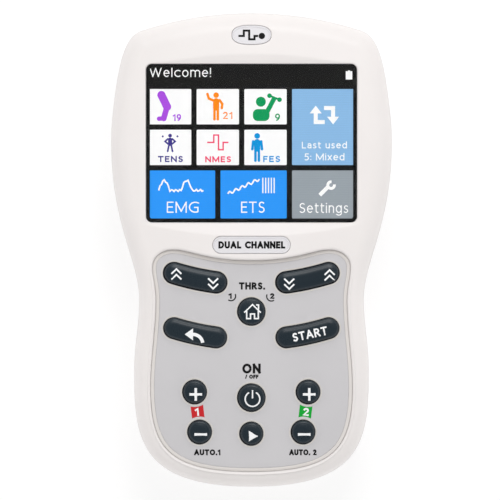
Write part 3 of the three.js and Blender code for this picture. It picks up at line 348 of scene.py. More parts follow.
# Each letter: its width and its pen lines, the height of a capital being one.
GLYPHS = {
    "A": (0.7, [[(0, 0), (0.35, 1)], [(0.35, 1), (0.7, 0)], [(0.13, 0.32), (0.57, 0.32)]]),
    "C": (0.68, [bow(0.44, 0.5, 0.44, 0.5, 56, 304)]),
    "D": (0.64, [[(0, 0.5), (0, 1), *bow(0.2, 0.5, 0.44, 0.5, 90, -90), (0, 0), (0, 0.5)]]),
    "E": (0.44, [[(0.44, 1), (0, 1), (0, 0), (0.44, 0)], [(0, 0.52), (0.38, 0.52)]]),
    "F": (0.42, [[(0.42, 1), (0, 1), (0, 0)], [(0, 0.5), (0.36, 0.5)]]),
    "G": (0.68, [[*bow(0.47, 0.5, 0.47, 0.5, 58, 296), (0.68, 0.1), (0.68, 0.48), (0.42, 0.48)]]),
    "H": (0.6, [[(0, 0), (0, 1)], [(0.6, 0), (0.6, 1)], [(0, 0.52), (0.6, 0.52)]]),
    "L": (0.4, [[(0, 1), (0, 0), (0.4, 0)]]),
    "M": (0.8, [[(0, 0), (0, 1)], [(0, 1), (0.4, 0.1)], [(0.4, 0.1), (0.8, 1)], [(0.8, 1), (0.8, 0)]]),
    "N": (0.62, [[(0, 0), (0, 1)], [(0, 1), (0.62, 0)], [(0.62, 0), (0.62, 1)]]),
    "O": (0.78, [bow(0.39, 0.5, 0.39, 0.5, 0, 360, 24)]),
    "R": (0.54, [[(0, 0), (0, 1)], [(0, 1), *bow(0.2, 0.74, 0.27, 0.26, 90, -90), (0, 0.48)],
                 [(0.22, 0.48), (0.54, 0)]]),
    "S": (0.46, [[*bow(0.25, 0.75, 0.21, 0.25, 42, 258), *bow(0.22, 0.25, 0.23, 0.25, 82, -138)]]),
    "T": (0.58, [[(0, 1), (0.58, 1)], [(0.29, 0.95), (0.29, 0)]]),
    "U": (0.58, [[(0, 1), *bow(0.29, 0.3, 0.29, 0.3, 180, 360), (0.58, 1)]]),
    "W": (1.0, [[(0, 1), (0.25, 0)], [(0.25, 0), (0.5, 1)], [(0.5, 1), (0.75, 0)], [(0.75, 0), (1, 1)]]),
    "1": (0.22, [[(0, 0.8), (0.22, 0.98), (0.22, 0)]]),
    "2": (0.44, [[*bow(0.21, 0.73, 0.21, 0.27, 155, -32), (0, 0), (0.44, 0)]]),
    "5": (0.42, [[(0.4, 1), (0.07, 1), (0.04, 0.57), *bow(0.17, 0.31, 0.25, 0.31, 100, -122)]]),
    "9": (0.44, [bow(0.22, 0.69, 0.22, 0.31, 0, 360, 20), bow(0.0, 0.69, 0.44, 0.69, 0, -72)]),
    "a": (0.38, [[*bow(0.19, 0.53, 0.19, 0.21, 150, 0), (0.38, 0)],
                 [(0.38, 0.42), (0.2, 0.42), *bow(0.18, 0.21, 0.18, 0.21, 90, 280), (0.38, 0.16)]]),
    "c": (0.46, [bow(0.3, 0.37, 0.3, 0.37, 56, 304)]),
    "d": (0.46, [*ROUND, [(0.46, 1.06), (0.46, 0)]]),
    "e": (0.46, [[(0.05, 0.39), (0.44, 0.39)], bow(0.23, 0.37, 0.23, 0.37, 5, 308)]),
    "g": (0.46, [*ROUND, [(0.46, 0.74), (0.46, -0.08), *bow(0.23, -0.1, 0.23, 0.2, -10, -145)]]),
    "i": (0.0, [[(0, 0.74), (0, 0)], [(0, 0.99), (0, 1.0)]]),
    "l": (0.0, [[(0, 1.06), (0, 0)]]),
    "m": (0.8, [[(0, 0), (0, 0.74)], ARCH, [(x + 0.4, y) for x, y in ARCH]]),
    "n": (0.4, [[(0, 0), (0, 0.74)], ARCH]),
    "o": (0.48, [bow(0.24, 0.37, 0.24, 0.37, 0, 360, 20)]),
    "s": (0.34, [[*bow(0.19, 0.555, 0.15, 0.185, 45, 255), *bow(0.16, 0.185, 0.17, 0.185, 80, -138)]]),
    "t": (0.26, [[(0.08, 0.96), (0.08, 0.17), *bow(0.22, 0.17, 0.14, 0.17, 190, 280)],
                 [(0, 0.74), (0.26, 0.74)]]),
    "u": (0.4, [[(0, 0.74), *bow(0.2, 0.22, 0.2, 0.22, 180, 350)], [(0.4, 0.74), (0.4, 0)]]),
    "x": (0.4, [[(0, 0.74), (0.4, 0)], [(0.4, 0.74), (0, 0)]]),
    ".": (0.0, [[(0, 0), (0, 0.01)]]),
    ":": (0.0, [[(0, 0.06), (0, 0.07)], [(0, 0.6), (0, 0.61)]]),
    "!": (0.0, [[(0, 1), (0, 0.34)], [(0, 0), (0, 0.01)]]),
    "/": (0.26, [[(0, 0), (0.26, 1)]]),
    " ": (0.12, []),
}


def words(text, x, baseline, width, height, weight, turn=0.0):
    """A line of lettering as outlines: pen lines laid side by side, scaled to a width and a height.

    A letter's point (u, v) lands at x + (u - middle) * scale, baseline + weight / 2 + v * (height - weight),
    and its open ends run on by half the pen's weight.
    """
    lines, at = [], 0.0
    space = LETTER_SPACE + weight / height
    for letter in text:
        wide, paths = GLYPHS[letter]
        lines += [np.array(path, float) + [at, 0] for path in paths]
        at += wide + space
    span, angle = at - space, math.radians(turn)
    across = np.array([[math.cos(angle), math.sin(angle)], [-math.sin(angle), math.cos(angle)]])
    shapes = []
    for line in lines:
        flat = (line - [span / 2, 0]) * [(width - weight) / span, height - weight] + [0, weight / 2]
        if np.linalg.norm(flat[0] - flat[-1]) > 1e-6:
            for end, near in [(0, 1), (-1, -2)]:
                along = flat[end] - flat[near]
                flat[end] += along / np.linalg.norm(along) * weight / 2
        shapes.append(stroke(flat @ across + [x, baseline], weight))
    return shapes


# ---------------------------------------------------------------- surfaces


def ring(outline, height):
    """An outline lifted to a height, or to a height for each point."""
    return np.column_stack([outline, np.broadcast_to(height, len(outline))])


def band(rings):
    """Quads between rings of equal length, each closed on itself: ring k joined to ring k + 1."""
    grid = np.array(rings)
    rows, count = grid.shape[:2]
    start = np.arange(rows - 1)[:, None] * count
    near = np.arange(count)
    far = np.roll(near, -1)
    quads = np.stack([start + near, start + far, start + far + count, start + near + count], -1)
    return grid.reshape(-1, 3), quads.reshape(-1, 4)


def fan(edge, apex=None):
    """Triangles from a ring to its apex, or to the ring's middle."""
    apex = edge.mean(0) if apex is None else np.array(apex)
    near = np.arange(len(edge))
    tris = np.column_stack([near, np.roll(near, -1), np.full(len(edge), len(edge))])
    return np.vstack([edge, apex]), tris


def closed(rings):
    """A solid skin over rings, the first and the last closed by fans."""
    return [fan(rings[0]), band(rings), fan(rings[-1])]


def prism(outline, low, high):
    """An outline drawn straight up from one level to another, closed at both ends."""
    return closed([ring(outline, low), ring(outline, high)])


def inside(points, outline):
    """True where an odd number of the outline's edges lie to a point's right."""
    a, b = outline, np.roll(outline, -1, 0)
    x, y = points[:, :1], points[:, 1:2]
    crosses = (a[:, 1] > y) != (b[:, 1] > y)
    rise = np.where(b[:, 1] == a[:, 1], 1, b[:, 1] - a[:, 1])
    at = a[:, 0] + (y - a[:, 1]) * (b[:, 0] - a[:, 0]) / rise
    return np.count_nonzero(crosses & (x < at), axis=1) % 2 == 1


def grid_points(x0, y0, x1, y1, pitch):
    """Points at a pitch, every second row set over by half of it."""
    x, y = np.meshgrid(np.arange(x0, x1, pitch), np.arange(y0, y1, pitch * 0.866))
    x = x + (np.arange(len(y)) % 2)[:, None] * pitch / 2
    return np.column_stack([x.ravel(), y.ravel()])


def triangulate(shapes, holes=(), free=()):
    """Delaunay triangles over the union of the shapes less the holes, through the free points as well."""
    loops = [*shapes, *holes]
    starts = np.cumsum([0, *map(len, loops)])
    edges = [start + np.column_stack([np.arange(len(loop)), np.roll(np.arange(len(loop)), -1)])
             for loop, start in zip(loops, starts)]
    points = np.vstack([*loops, *free])
    made = delaunay_2d_cdt(points.tolist(), np.vstack(edges).tolist(), [], 0, 1e-7, False)
    flat = np.array([tuple(p) for p in made[0]])
    tris = np.array(made[2])
    middle = flat[tris].mean(1)
    keep = np.any([inside(middle, shape) for shape in shapes], axis=0)
    for hole in holes:
        keep &= ~inside(middle, hole)
    tris = tris[keep]
    a, b, c = (flat[tris[:, k]] for k in range(3))
    area = (b[:, 0] - a[:, 0]) * (c[:, 1] - a[:, 1]) - (c[:, 0] - a[:, 0]) * (b[:, 1] - a[:, 1])
    tris = np.where(area[:, None] > 0, tris, tris[:, ::-1])[np.abs(area) > 1e-9]
    used, tris = np.unique(tris, return_inverse=True)
    return flat[used], tris.reshape(-1, 3)


def carpet(outer, holes, height, free=()):
    """The sheet z = height(x, y) over an outline less its holes."""
    flat, tris = triangulate([outer], holes, free)
    return np.column_stack([flat, height(flat)]), tris


def film(shapes, surface, low, high, holes=(), pitch=None):
    """A thin closed plate: triangles at two heights over a surface, joined round their open edges."""
    free = []
    if pitch:
        every = np.vstack(shapes)
        free = [grid_points(*(every.min(0) + pitch / 3), *every.max(0), pitch)]
    flat, tris = triangulate(shapes, holes, free)
    base = surface(flat) if callable(surface) else np.full(len(flat), surface)
    points = np.vstack([np.column_stack([flat, base + low]), np.column_stack([flat, base + high])])
    count = len(flat)
    edges = np.vstack([tris[:, [0, 1]], tris[:, [1, 2]], tris[:, [2, 0]]])
    open_edge = edges[~np.isin(edges[:, 0] * count + edges[:, 1], edges[:, 1] * count + edges[:, 0])]
    a, b = open_edge.T
    sides = np.column_stack([a, b, b + count, a + count])
    return [(points, np.vstack([tris[:, ::-1], tris + count])), (points, sides)]


def lathe(profile, centre, sides=48):
    """A profile of (radius, height along +Y) turned about the Y axis through a centre."""
    profile = np.array(profile, float)
    turn = np.linspace(0, 2 * math.pi, sides, endpoint=False)
    radius, along = profile[:, :1], profile[:, 1:]
    grid = np.stack(np.broadcast_arrays(radius * np.sin(turn), along, radius * np.cos(turn)), -1)
    return [band(grid + np.array(centre))]


def tube(path, radius, sides=10):
    """A round section carried along a path, its frame turned as little as the path asks."""
    along = np.gradient(path, axis=0)
    along /= np.linalg.norm(along, axis=1, keepdims=True)
    up = np.array([0.0, 1.0, 0.0])
    out = np.cross(along, up)
    out /= np.linalg.norm(out, axis=1, keepdims=True)
    third = np.cross(out, along)
    turn = np.linspace(0, 2 * math.pi, sides, endpoint=False)[:, None]
    grid = path[:, None] + radius * (np.cos(turn) * out[:, None] + np.sin(turn) * third[:, None])
    return [fan(grid[0]), band(grid), fan(grid[-1])]


def block(x0, x1, y0, y1, z0, z1):
    """A plain box between six levels."""
    return prism(rectangle(x0, y0, x1, y1), z0, z1)


def welded(name, parts, scale=1.0):
    """One mesh from gathered faces: doubles merged and every face turned outwards."""
    points, faces, start = [], [], 0
    for place, corners in parts:
        points.append(place)
        faces.extend((corners + start).tolist() if isinstance(corners, np.ndarray) else
                     [[i + start for i in face] for face in corners])
        start += len(place)
    mesh = bpy.data.meshes.new(name)
    mesh.from_pydata(np.vstack(points) * scale, [], faces)
    work = bmesh.new()
    work.from_mesh(mesh)
    bmesh.ops.remove_doubles(work, verts=work.verts, dist=2e-4 * scale)
    bmesh.ops.dissolve_degenerate(work, edges=work.edges, dist=1e-5 * scale)
    bmesh.ops.recalc_face_normals(work, faces=work.faces)
    work.to_mesh(mesh)
    work.free()
    return mesh


def solid(name, parts):
    """An object made of gathered faces, linked to the scene."""
    obj = bpy.data.objects.new(name, welded(name, parts))
    bpy.context.scene.collection.objects.link(obj)
    return obj


def combined(base, *steps):
    """A solid joined with, cut by or kept within others in turn, as faces in millimetres again."""
    whole = solid("whole", base)
    helpers = []
    for operation, parts in steps:
        helpers.append(solid("helper", parts))
        change = whole.modifiers.new("step", "BOOLEAN")
        change.operation, change.solver, change.object = operation, "MANIFOLD", helpers[-1]
    bpy.context.view_layer.update()
    made = bpy.data.meshes.new_from_object(whole.evaluated_get(bpy.context.evaluated_depsgraph_get()))
    parts = [mesh_part(made)]
    for obj in [whole, *helpers]:
        bpy.data.objects.remove(obj)
    if not len(made.polygons):
        raise RuntimeError("a solid came out empty")
    return parts


def mesh_part(mesh):
    """A mesh's points and its faces as lists."""
    points = np.empty(len(mesh.vertices) * 3)
    mesh.vertices.foreach_get("co", points)
    return points.reshape(-1, 3), [list(face.vertices) for face in mesh.polygons]


def piece(name, parts, material, body, replaces=(), sharp=35.0):
    """A finished piece at the origin, its place in its mesh, riding on its body."""
    mesh = welded(name, parts, MM)
    mesh.polygons.foreach_set("use_smooth", np.ones(len(mesh.polygons), bool))
    mesh.set_sharp_from_angle(angle=math.radians(sharp))
    mesh.materials.append(material)
    obj = bpy.data.objects.new(name, mesh)
    bpy.context.scene.collection.objects.link(obj)
    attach(obj, body)
    if replaces:
        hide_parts(*replaces)
    return obj


# ---------------------------------------------------------------- finishes


class Nodes:
    """A material's node tree, with short ways to add and join nodes."""

    def __init__(self, name):
        self.material = bpy.data.materials.new(name)
        self.material.use_nodes = True
        self.tree = self.material.node_tree
        self.shader = self.tree.nodes["Principled BSDF"]
        self.place = self.add("ShaderNodeTexCoord").outputs["Object"]

    def add(self, kind, links=(), **settings):
        node = self.tree.nodes.new(kind)
        for key, value in settings.items():
            setattr(node, key, value)
        for socket, value in dict(links).items():
            self.set(node, socket, value)
        return node

    def set(self, node, socket, value):
        if isinstance(value, bpy.types.NodeSocket):
            self.tree.links.new(value, node.inputs[socket])
        elif isinstance(value, tuple) and len(value) == 3 and node.inputs[socket].type == "RGBA":
            node.inputs[socket].default_value = (*value, 1)
        else:
            node.inputs[socket].default_value = value

    def noise(self, size, detail=2.0):
        """Soft noise whose lumps are about a size across, in millimetres."""
        links = {"Vector": self.place, "Scale": 1 / (size * MM), "Detail": detail, "Roughness": 0.55}
        return self.add("ShaderNodeTexNoise", links).outputs["Fac"]

    def spread(self, value, low, high, start=0.35, end=0.65):
        """A value's range start to end carried to low to high."""
        links = {"Value": value, "From Min": start, "From Max": end, "To Min": low, "To Max": high}
        return self.add("ShaderNodeMapRange", links).outputs["Result"]

    def mix(self, share, first, second):
        node = self.add("ShaderNodeMix", data_type="RGBA")
        sockets = [node.inputs["Factor"], node.inputs[6], node.inputs[7]]
        for socket, value in zip(sockets, [share, first, second]):
            if isinstance(value, bpy.types.NodeSocket):
                self.tree.links.new(value, socket)
            else:
                socket.default_value = (*value, 1) if isinstance(value, tuple) else value
        return node.outputs[2]

    def bump(self, height, depth, strength=1.0):
        """Makes a height pattern the surface's relief, its depth in millimetres."""
        node = self.add("ShaderNodeBump", {"Height": height, "Distance": depth * MM, "Strength": strength})
        self.set(self.shader, "Normal", node.outputs["Normal"])


def shade(tone, share):
    """A colour made lighter or darker by a share, and never above white."""
    return tuple(min(1.0, part * share) for part in tone)


def moulded(name, tone, roughness, grain=0.25, depth=0.004, spread=0.02, gloss=0.5, walls=1.0):
    """Moulded plastic or rubber: faint clouding, spark-eroded grain and uneven gloss.

    Its steep walls may be a share as light as its faces: painted shade where the sides turn away from the
    light.
    """
    m = Nodes(name)
    fine = m.noise(grain, 3)
    clouding_and_wall_shade = m.mix(m.spread(m.noise(18, 3), 0, 1), shade(tone, 1 - spread), shade(tone, 1 + spread / 2))
    # Painted shade: where the normal tilts from upright, the colour darkens to the walls share.
    if walls < 1:
        normal = m.add("ShaderNodeNewGeometry").outputs["Normal"]
        level = m.add("ShaderNodeSeparateXYZ", {"Vector": normal}).outputs["Z"]
        flatness = m.add("ShaderNodeMath", {0: level}, operation="ABSOLUTE").outputs["Value"]
        clouding_and_wall_shade = m.mix(m.spread(flatness, 0, 1, 0.08, 0.3), shade(tone, walls), clouding_and_wall_shade)
    m.set(m.shader, "Base Color", clouding_and_wall_shade)
    m.set(m.shader, "Roughness", m.spread(fine, roughness - 0.05, roughness + 0.05))
    m.set(m.shader, "Specular IOR Level", gloss)
    m.bump(fine, depth, 0.6)
    return m.material


def ink(name, tone, roughness=0.5):
    """Screen-printed ink: a dense film with pinholes and a slightly broken gloss."""
    m = Nodes(name)
    fine = m.noise(0.12, 2)
    m.set(m.shader, "Base Color", m.mix(m.spread(fine, 0, 1), shade(tone, 0.93), shade(tone, 1.04)))
    m.set(m.shader, "Roughness", m.spread(fine, roughness - 0.06, roughness + 0.06))
    m.set(m.shader, "Specular IOR Level", 0.2)
    m.bump(fine, 0.003, 0.4)
    return m.material


def lit(name, tone, strength=0.8):
    """A lit area of the display: cells in fine rows, their light a little uneven."""
    m = Nodes(name)
    rows = m.add("ShaderNodeTexWave", {"Vector": m.place, "Scale": 1 / (2.2 * MM), "Distortion": 0.0},
                 wave_type="BANDS", bands_direction="Y")
    cells = m.spread(rows.outputs["Fac"], 0, 1, 0, 1)
    m.set(m.shader, "Base Color", m.mix(cells, shade(tone, 0.2), shade(tone, 0.25)))
    m.set(m.shader, "Roughness", m.spread(m.noise(0.3), 0.45, 0.55))
    m.set(m.shader, "Specular IOR Level", 0.1)
    m.set(m.shader, "Emission Color", tone)
    m.set(m.shader, "Emission Strength", strength)
    return m.material


def metal(name, tone, roughness=0.3, grain=0.2):
    """Plated or drawn metal: fine uneven polish with faint stains."""
    m = Nodes(name)
    fine = m.noise(grain, 4)
    m.set(m.shader, "Base Color", m.mix(m.spread(m.noise(3), 0, 1), shade(tone, 0.9), tone))
    m.set(m.shader, "Metallic", 1.0)
    m.set(m.shader, "Roughness", m.spread(fine, roughness - 0.08, roughness + 0.1))
    m.bump(fine, 0.002, 0.5)
    return m.material


def clear(name):
    """Polished clear plastic with the faintest waviness."""
    m = Nodes(name)
    m.set(m.shader, "Base Color", (1.0, 1.0, 1.0))
    m.set(m.shader, "Roughness", m.spread(m.noise(6), 0.01, 0.03))
    m.set(m.shader, "Transmission Weight", 1.0)
    m.set(m.shader, "IOR", 1.15)
    m.bump(m.noise(9, 1), 0.002, 0.3)
    return m.material


def paper():
    """The floor: pale paper, lit from behind so that shadows on it stay faint."""
    m = Nodes("floor")
    m.set(m.shader, "Base Color", m.mix(m.noise(60), (0.44, 0.44, 0.44), (0.46, 0.46, 0.46)))
    m.set(m.shader, "Roughness", 0.9)
    m.set(m.shader, "Specular IOR Level", 0.0)
    m.set(m.shader, "Emission Color", (1.0, 1.0, 1.0))
    m.set(m.shader, "Emission Strength", 0.62)
    return m.material


def striped(name, tone, second, pitch, axis, roughness, metallic=0.0, share=0.5):
    """Bands of two tones along an axis, such as windings, traces or a wrapped label."""
    m = Nodes(name)
    wave = m.add("ShaderNodeTexWave", {"Vector": m.place, "Scale": 0.314 / (pitch * MM), "Distortion": 0.3},
                 wave_type="BANDS", bands_direction=axis)
    bands = m.spread(wave.outputs["Fac"], 0, 1, share - 0.05, share + 0.05)
    m.set(m.shader, "Base Color", m.mix(bands, tone, second))
    m.set(m.shader, "Metallic", metallic)
    m.set(m.shader, "Roughness", m.spread(m.noise(0.5), roughness - 0.05, roughness + 0.08))
    m.bump(wave.outputs["Fac"], 0.02, 0.5)
    return m.material


FINISHES = {}


def finish(name):
    """A finish by its name, made once."""
    if name not in FINISHES:
        FINISHES[name] = MAKERS[name]()
    return FINISHES[name]


MAKERS = {
    # The shell's steep walls get painted shade, their colour 0.84 of the faces'.
    "shell": lambda: moulded("shell", colour("shell"), 0.42, 0.22, 0.003, 0.012, walls=0.84),
    "plate": lambda: moulded("plate", colour("plate"), 0.5, 0.3, 0.005, 0.02),
    "key": lambda: moulded("key", colour("key"), 0.28, 0.18, 0.003, 0.05, 0.45),
    "trim": lambda: moulded("trim", linear(226, 221, 217), 0.5, 0.3, 0.003, 0.02),
    # A tone lighter than the plate for the ring round each key hole: a painted highlight on its chamfer.
    "collar": lambda: moulded("collar", linear(222, 218, 212), 0.45, 0.3, 0.002, 0.02),
    "badge": lambda: moulded("badge", colour("badge"), 0.35, 0.3, 0.002, 0.01),
    "black_socket": lambda: moulded("black_socket", linear(30, 31, 33), 0.4, 0.2),
    "red_socket": lambda: moulded("red_socket", colour("channel_1"), 0.38, 0.2),
    "green_socket": lambda: moulded("green_socket", colour("channel_2"), 0.38, 0.2),
    "key_print": lambda: ink("key_print", colour("key_print")),
    "legend": lambda: ink("legend", colour("legend")),
    "red_print": lambda: ink("red_print", colour("channel_1")),
    "green_print": lambda: ink("green_print", colour("channel_2")),
    "mask": lambda: moulded("mask", linear(36, 36, 36), 0.5, 0.1, 0.001, 0.05, 0.05),
    "glass": lambda: clear("glass"),
    "panel": lambda: moulded("panel", linear(33, 33, 33), 0.5, 0.1, 0.001, 0.05, 0.05),
    "holder": lambda: moulded("holder", linear(46, 46, 48), 0.6),
    "flex": lambda: striped("flex", linear(190, 120, 40), linear(150, 84, 24), 0.8, "X", 0.35),
    "rubber": lambda: moulded("rubber", linear(143, 146, 150), 0.8, 0.15, 0.01, 0.05, 0.3),
    "carbon": lambda: moulded("carbon", linear(20, 20, 21), 0.85, 0.08, 0.01, 0.1, 0.2),
    "board": lambda: striped("board", linear(24, 92, 48), linear(30, 112, 60), 1.6, "X", 0.4, 0.0, 0.8),
    "component": lambda: moulded("component", linear(26, 27, 29), 0.55, 0.2, 0.006, 0.05),
    "winding": lambda: striped("winding", linear(92, 82, 66), linear(60, 56, 50), 0.5, "Y", 0.5),
    "cell": lambda: striped("cell", linear(38, 84, 140), linear(202, 204, 206), 16.0, "Y", 0.3, 0.2, 0.82),
    "spring": lambda: metal("spring", (0.78, 0.78, 0.78), 0.25),
    "screw": lambda: metal("screw", (0.62, 0.62, 0.64), 0.35),
    "floor": lambda: paper(),
}


# ---------------------------------------------------------------- shells


def soft_least(first, second, blend):
    """The lesser of two heights, the crease between them rounded over a blend height."""
    share = np.clip(0.5 + 0.5 * (second - first) / blend, 0, 1)
    return second + (first - second) * share - blend * share * (1 - share)


def rimmed_crown(points):
    """The crown, rounded off towards the body's outline.

    At a distance d within EDGE_IN of the outline the height is the crown's at the rim line beside it, less
    EDGE_DROP * (1 - sqrt(1 - (1 - d / EDGE_IN)^2)).
    """
    start = body_outline()
    step = np.roll(start, -1, 0) - start
    rest = points[:, None] - start
    share = np.clip((rest * step).sum(2) / (step**2).sum(1), 0, 1)[..., None]
    away = rest - share * step
    far = np.linalg.norm(away, axis=2)
    near = np.argmin(far, axis=1)
    row = np.arange(len(points))
    away, far = away[row, near], far[row, near]
    edge = far < EDGE_IN
    level = crown(points)
    rim = points[edge] + away[edge] * (EDGE_IN / far[edge] - 1)[:, None]
    level[edge] = crown(rim) - EDGE_DROP * (1 - np.sqrt(1 - (1 - far[edge] / EDGE_IN) ** 2))
    return level


def front_height(points):
    """The rounded crown, cut by the window's level recess, whose banks rise one in BANK_RUN."""
    past = np.abs(points[:, 1] - WINDOW_MID[1]) - BANK_FOOT
    bank = WINDOW_TOP + (past + np.sqrt(past**2 + 0.09)) / 2 / BANK_RUN
    return soft_least(rimmed_crown(points), bank, 0.1)


def clear_of(points, outer, holes, margin):
    """The points well within an outline and well outside its holes."""
    keep = inside(points, offset(outer, -margin))
    for hole in holes:
        keep &= ~inside(points, offset(hole, margin))
    return points[keep]


def rolled_edge(outline, height, roll, steps=4):
    """Rings from a surface over a rounded rim of the given radius to the hole's wall."""
    rings = []
    for turn in np.linspace(math.pi / 2, 0, steps + 1):
        flat = offset(outline, roll * (1 - math.cos(turn)))
        top = height(offset(outline, roll))
        rings.append(ring(flat, top - roll * (1 - math.sin(turn))))
    return rings


def plate_places():
    """The badge's and the name plate's outline, top and foot, from the frame."""
    low, high = box_mm("badge")
    mid, size = (low + high) / 2, high - low
    badge = (lambda grow: lozenge(mid[0], mid[1], size[0] + 2 * grow, size[1] + 2 * grow)), low[2], high[2]
    low2, high2 = box_mm("name_plate")

    def pill(grow):
        half = (high2[1] - low2[1]) / 2 + grow
        return rectangle(low2[0] - grow, low2[1] - grow, high2[0] + grow, high2[1] + grow, half - 0.001, 16)

    return badge, (pill, low2[2], high2[2])


class TENS_OT_front_shell(bpy.types.Operator):
    """Makes the crowned front shell with its recess, pocket and seats"""

    bl_idname = "tens.front_shell"
    bl_label = "Front shell"

    def execute(self, context):
        body, pocket, lip = body_outline(), pocket_outline(), sizes("lip")
        rim_line = offset(body, -SHEET_IN)
        rim = crown(offset(body, -EDGE_IN))
        turns = np.linspace(0, math.acos(1 - SHEET_IN / EDGE_IN), 12)[:-1]
        edge = [ring(offset(body, -EDGE_IN * (1 - math.cos(turn))), rim - EDGE_DROP * (1 - math.sin(turn)))
                for turn in turns]
        edge.append(ring(rim_line, front_height(rim_line)))
        skirt = [
            ring(offset(body, -4.2), CEILING), ring(offset(body, -2.6), 24.2), ring(offset(body, -2), 22),
            ring(offset(body, -2), FRONT_LOW), ring(offset(body, -REVEAL), FRONT_LOW),
            ring(offset(body, -REVEAL), FRONT_LOW + REVEAL_HEIGHT),
            ring(body, FRONT_LOW + REVEAL_HEIGHT + 0.2), *edge,
        ]
        parts = [band(skirt)]
        window_hole = window_outline(0.35)
        pocket_hole = offset(pocket, lip)
        holes = [window_hole, pocket_hole]
        roll = 0.2
        for outline, low, _ in plate_places():
            seat = outline(0.1)
            wall = rolled_edge(seat, front_height, roll)
            foot = ring(seat, low - 0.1)
            parts += [band([*wall, foot]), fan(foot)]
            holes.append(offset(seat, roll))
        pitch = sizes("surface_pitch")
        banks = [grid_points(-34, y0, 34, y1, 0.4) for y0, y1 in [(2.6, 8.4), (55.6, 61.4)]]
        rims = [offset(body, -inset) for inset in [3.5, 3.9, 4.4, 4.9, 5.5]]
        spread = grid_points(-HALF_WIDTH, -END_Y, HALF_WIDTH, END_Y, pitch)
        free = clear_of(np.vstack([spread, *banks, *rims]), rim_line, holes, 0.3)
        parts.append(carpet(rim_line, holes, front_height, [free]))
        parts.append(band([
            ring(window_hole, front_height(window_hole)),
            ring(window_outline(0.17), front_height(window_hole) - 0.05),
            ring(window_outline(0.1), front_height(window_hole) - 0.2),
            ring(window_outline(0.1), WINDOW_SEAT),
            ring(window_outline(-0.7), WINDOW_SEAT),
            ring(window_outline(-0.7), CEILING),
        ]))
        share = np.linspace(0, 1, 6)[:, None]
        curve = (1 - share) ** 2 * [lip, 0] + 2 * share * (1 - share) * [0.1, 0] + share**2 * [-0.2, -0.55]
        rounded = [ring(offset(pocket, out), crown(offset(pocket, lip)) + drop) for out, drop in curve]
        parts.append(band([
            *rounded,
            ring(offset(pocket, -0.25), 26.4),
            ring(offset(pocket, -0.9), 26.4),
            ring(offset(pocket, -0.9), PLATE_LOW - 0.1),
            ring(offset(pocket, -2.1), PLATE_LOW - 0.1),
            ring(offset(pocket, -2.1), CEILING),
        ]))
        ceiling = [window_outline(-0.7), offset(pocket, -2.1)]
        parts.append(carpet(offset(body, -4.2), ceiling, lambda flat: np.full(len(flat), CEILING)))
        piece("front_shell", parts, finish("shell"), "case", ["front_housing"], 32)
        return {"FINISHED"}


def rear_rings(body, wall=0.0, steps=8):
    """The rear's form from its flat back up its rounded edge, or its hollow for a wall thickness."""
    rings = []
    for turn in np.linspace(math.pi / 2, 0, steps + 1):
        out = -BACK_IN + (BACK_IN - wall) * math.cos(turn)
        rings.append(ring(offset(body, out), BACK_RISE - (BACK_RISE - wall) * math.sin(turn)))
    return rings


def rear_form(body):
    """The rear shell's outside, stepped in at its top for the reveal."""
    top = REAR_TOP - REVEAL_HEIGHT
    return closed([
        *rear_rings(body), ring(body, top - 0.2),
        ring(offset(body, -REVEAL), top), ring(offset(body, -REVEAL), REAR_TOP),
    ])


def socket_places():
    """Each lead socket's middle."""
    return {name: sum(box_mm(name)) / 2 for name in SOCKET_TONES}


def screw_places():
    """Each screw's middle and the level of its head."""
    made = {}
    for name in [f"housing_screw_{number}" for number in range(1, 5)]:
        low, high = box_mm(name)
        made[name] = (*((low + high) / 2)[:2], low[2])
    return made


class TENS_OT_rear_shell(bpy.types.Operator):
    """Makes the rear shell with its battery bay, door rails, screw bosses and socket holes"""

    bl_idname = "tens.rear_shell"
    bl_label = "Rear shell"

    def execute(self, context):
        body = body_outline()
        form = rear_form(body)
        hollow = closed([*rear_rings(body, 2.0), ring(offset(body, -2), REAR_TOP + 1)])
        cell_low, cell_high = box_mm("battery_cell_1")[0], box_mm("battery_cell_4")[1]
        left, right = cell_low[0] - BAY_GAP, cell_high[0] + BAY_GAP
        near, far = box_mm("contact_link_lower_1")[0][1] - 0.1, box_mm("contact_link_upper")[1][1] + 0.1
        roof = cell_high[2] + BAY_GAP
        outside = (left - BAY_WALL, right + BAY_WALL, near - BAY_WALL, far + BAY_WALL)
        sill_top = DOOR_TOP + 1.6
        steps = [
            ("DIFFERENCE", hollow),
            ("UNION", combined(block(*outside, 0, REAR_TOP), ("INTERSECT", form))),
            ("UNION", block(*outside, REAR_TOP - 1, roof + BAY_WALL)),
            ("UNION", combined(block(-50, 50, -END_Y - 1, near, 0, sill_top), ("INTERSECT", form))),
            ("UNION", block(left, right, far - 0.5, far + 5, 0.5, sill_top)),
        ]
        for x, y, _ in screw_places().values():
            steps.append(("UNION", combined(prism(circle(x, y, 3, 32), 0.2, REAR_TOP), ("INTERSECT", form))))
        end, half, rail = np.array([DOOR_END, DOOR_HALF, RAIL_HALF]) + DOOR_GAP
        steps += [
            ("DIFFERENCE", block(left, right, near, far, 1.8, roof)),
            ("DIFFERENCE", block(-half, half, -END_Y - 5, end, -5, DOOR_TOP)),
            ("DIFFERENCE", block(-rail, rail, -END_Y - 5, end, RAIL_LOW, DOOR_TOP)),
            ("DIFFERENCE", block(-22, 22, 0, end + 1.2, RAIL_LOW, DOOR_TOP)),
        ]
        for x, y, head in screw_places().values():
            steps.append(("DIFFERENCE", prism(circle(x, y, 2.6, 32), -5, head + 1.9)))
            steps.append(("DIFFERENCE", prism(circle(x, y, 1.5, 24), -5, 40)))
        for mid in socket_places().values():
            hole = [(0, -20), (4.1, -20), (4.1, 6.2), (4.1, 20), (0, 20)]
            steps.append(("DIFFERENCE", lathe(hole, (mid[0], float(top_edge(mid[0])), mid[2]), 40)))
        parts = combined(form, *steps)
        piece("rear_shell", parts, finish("shell"), "case", ["rear_housing"], 30)
        return {"FINISHED"}


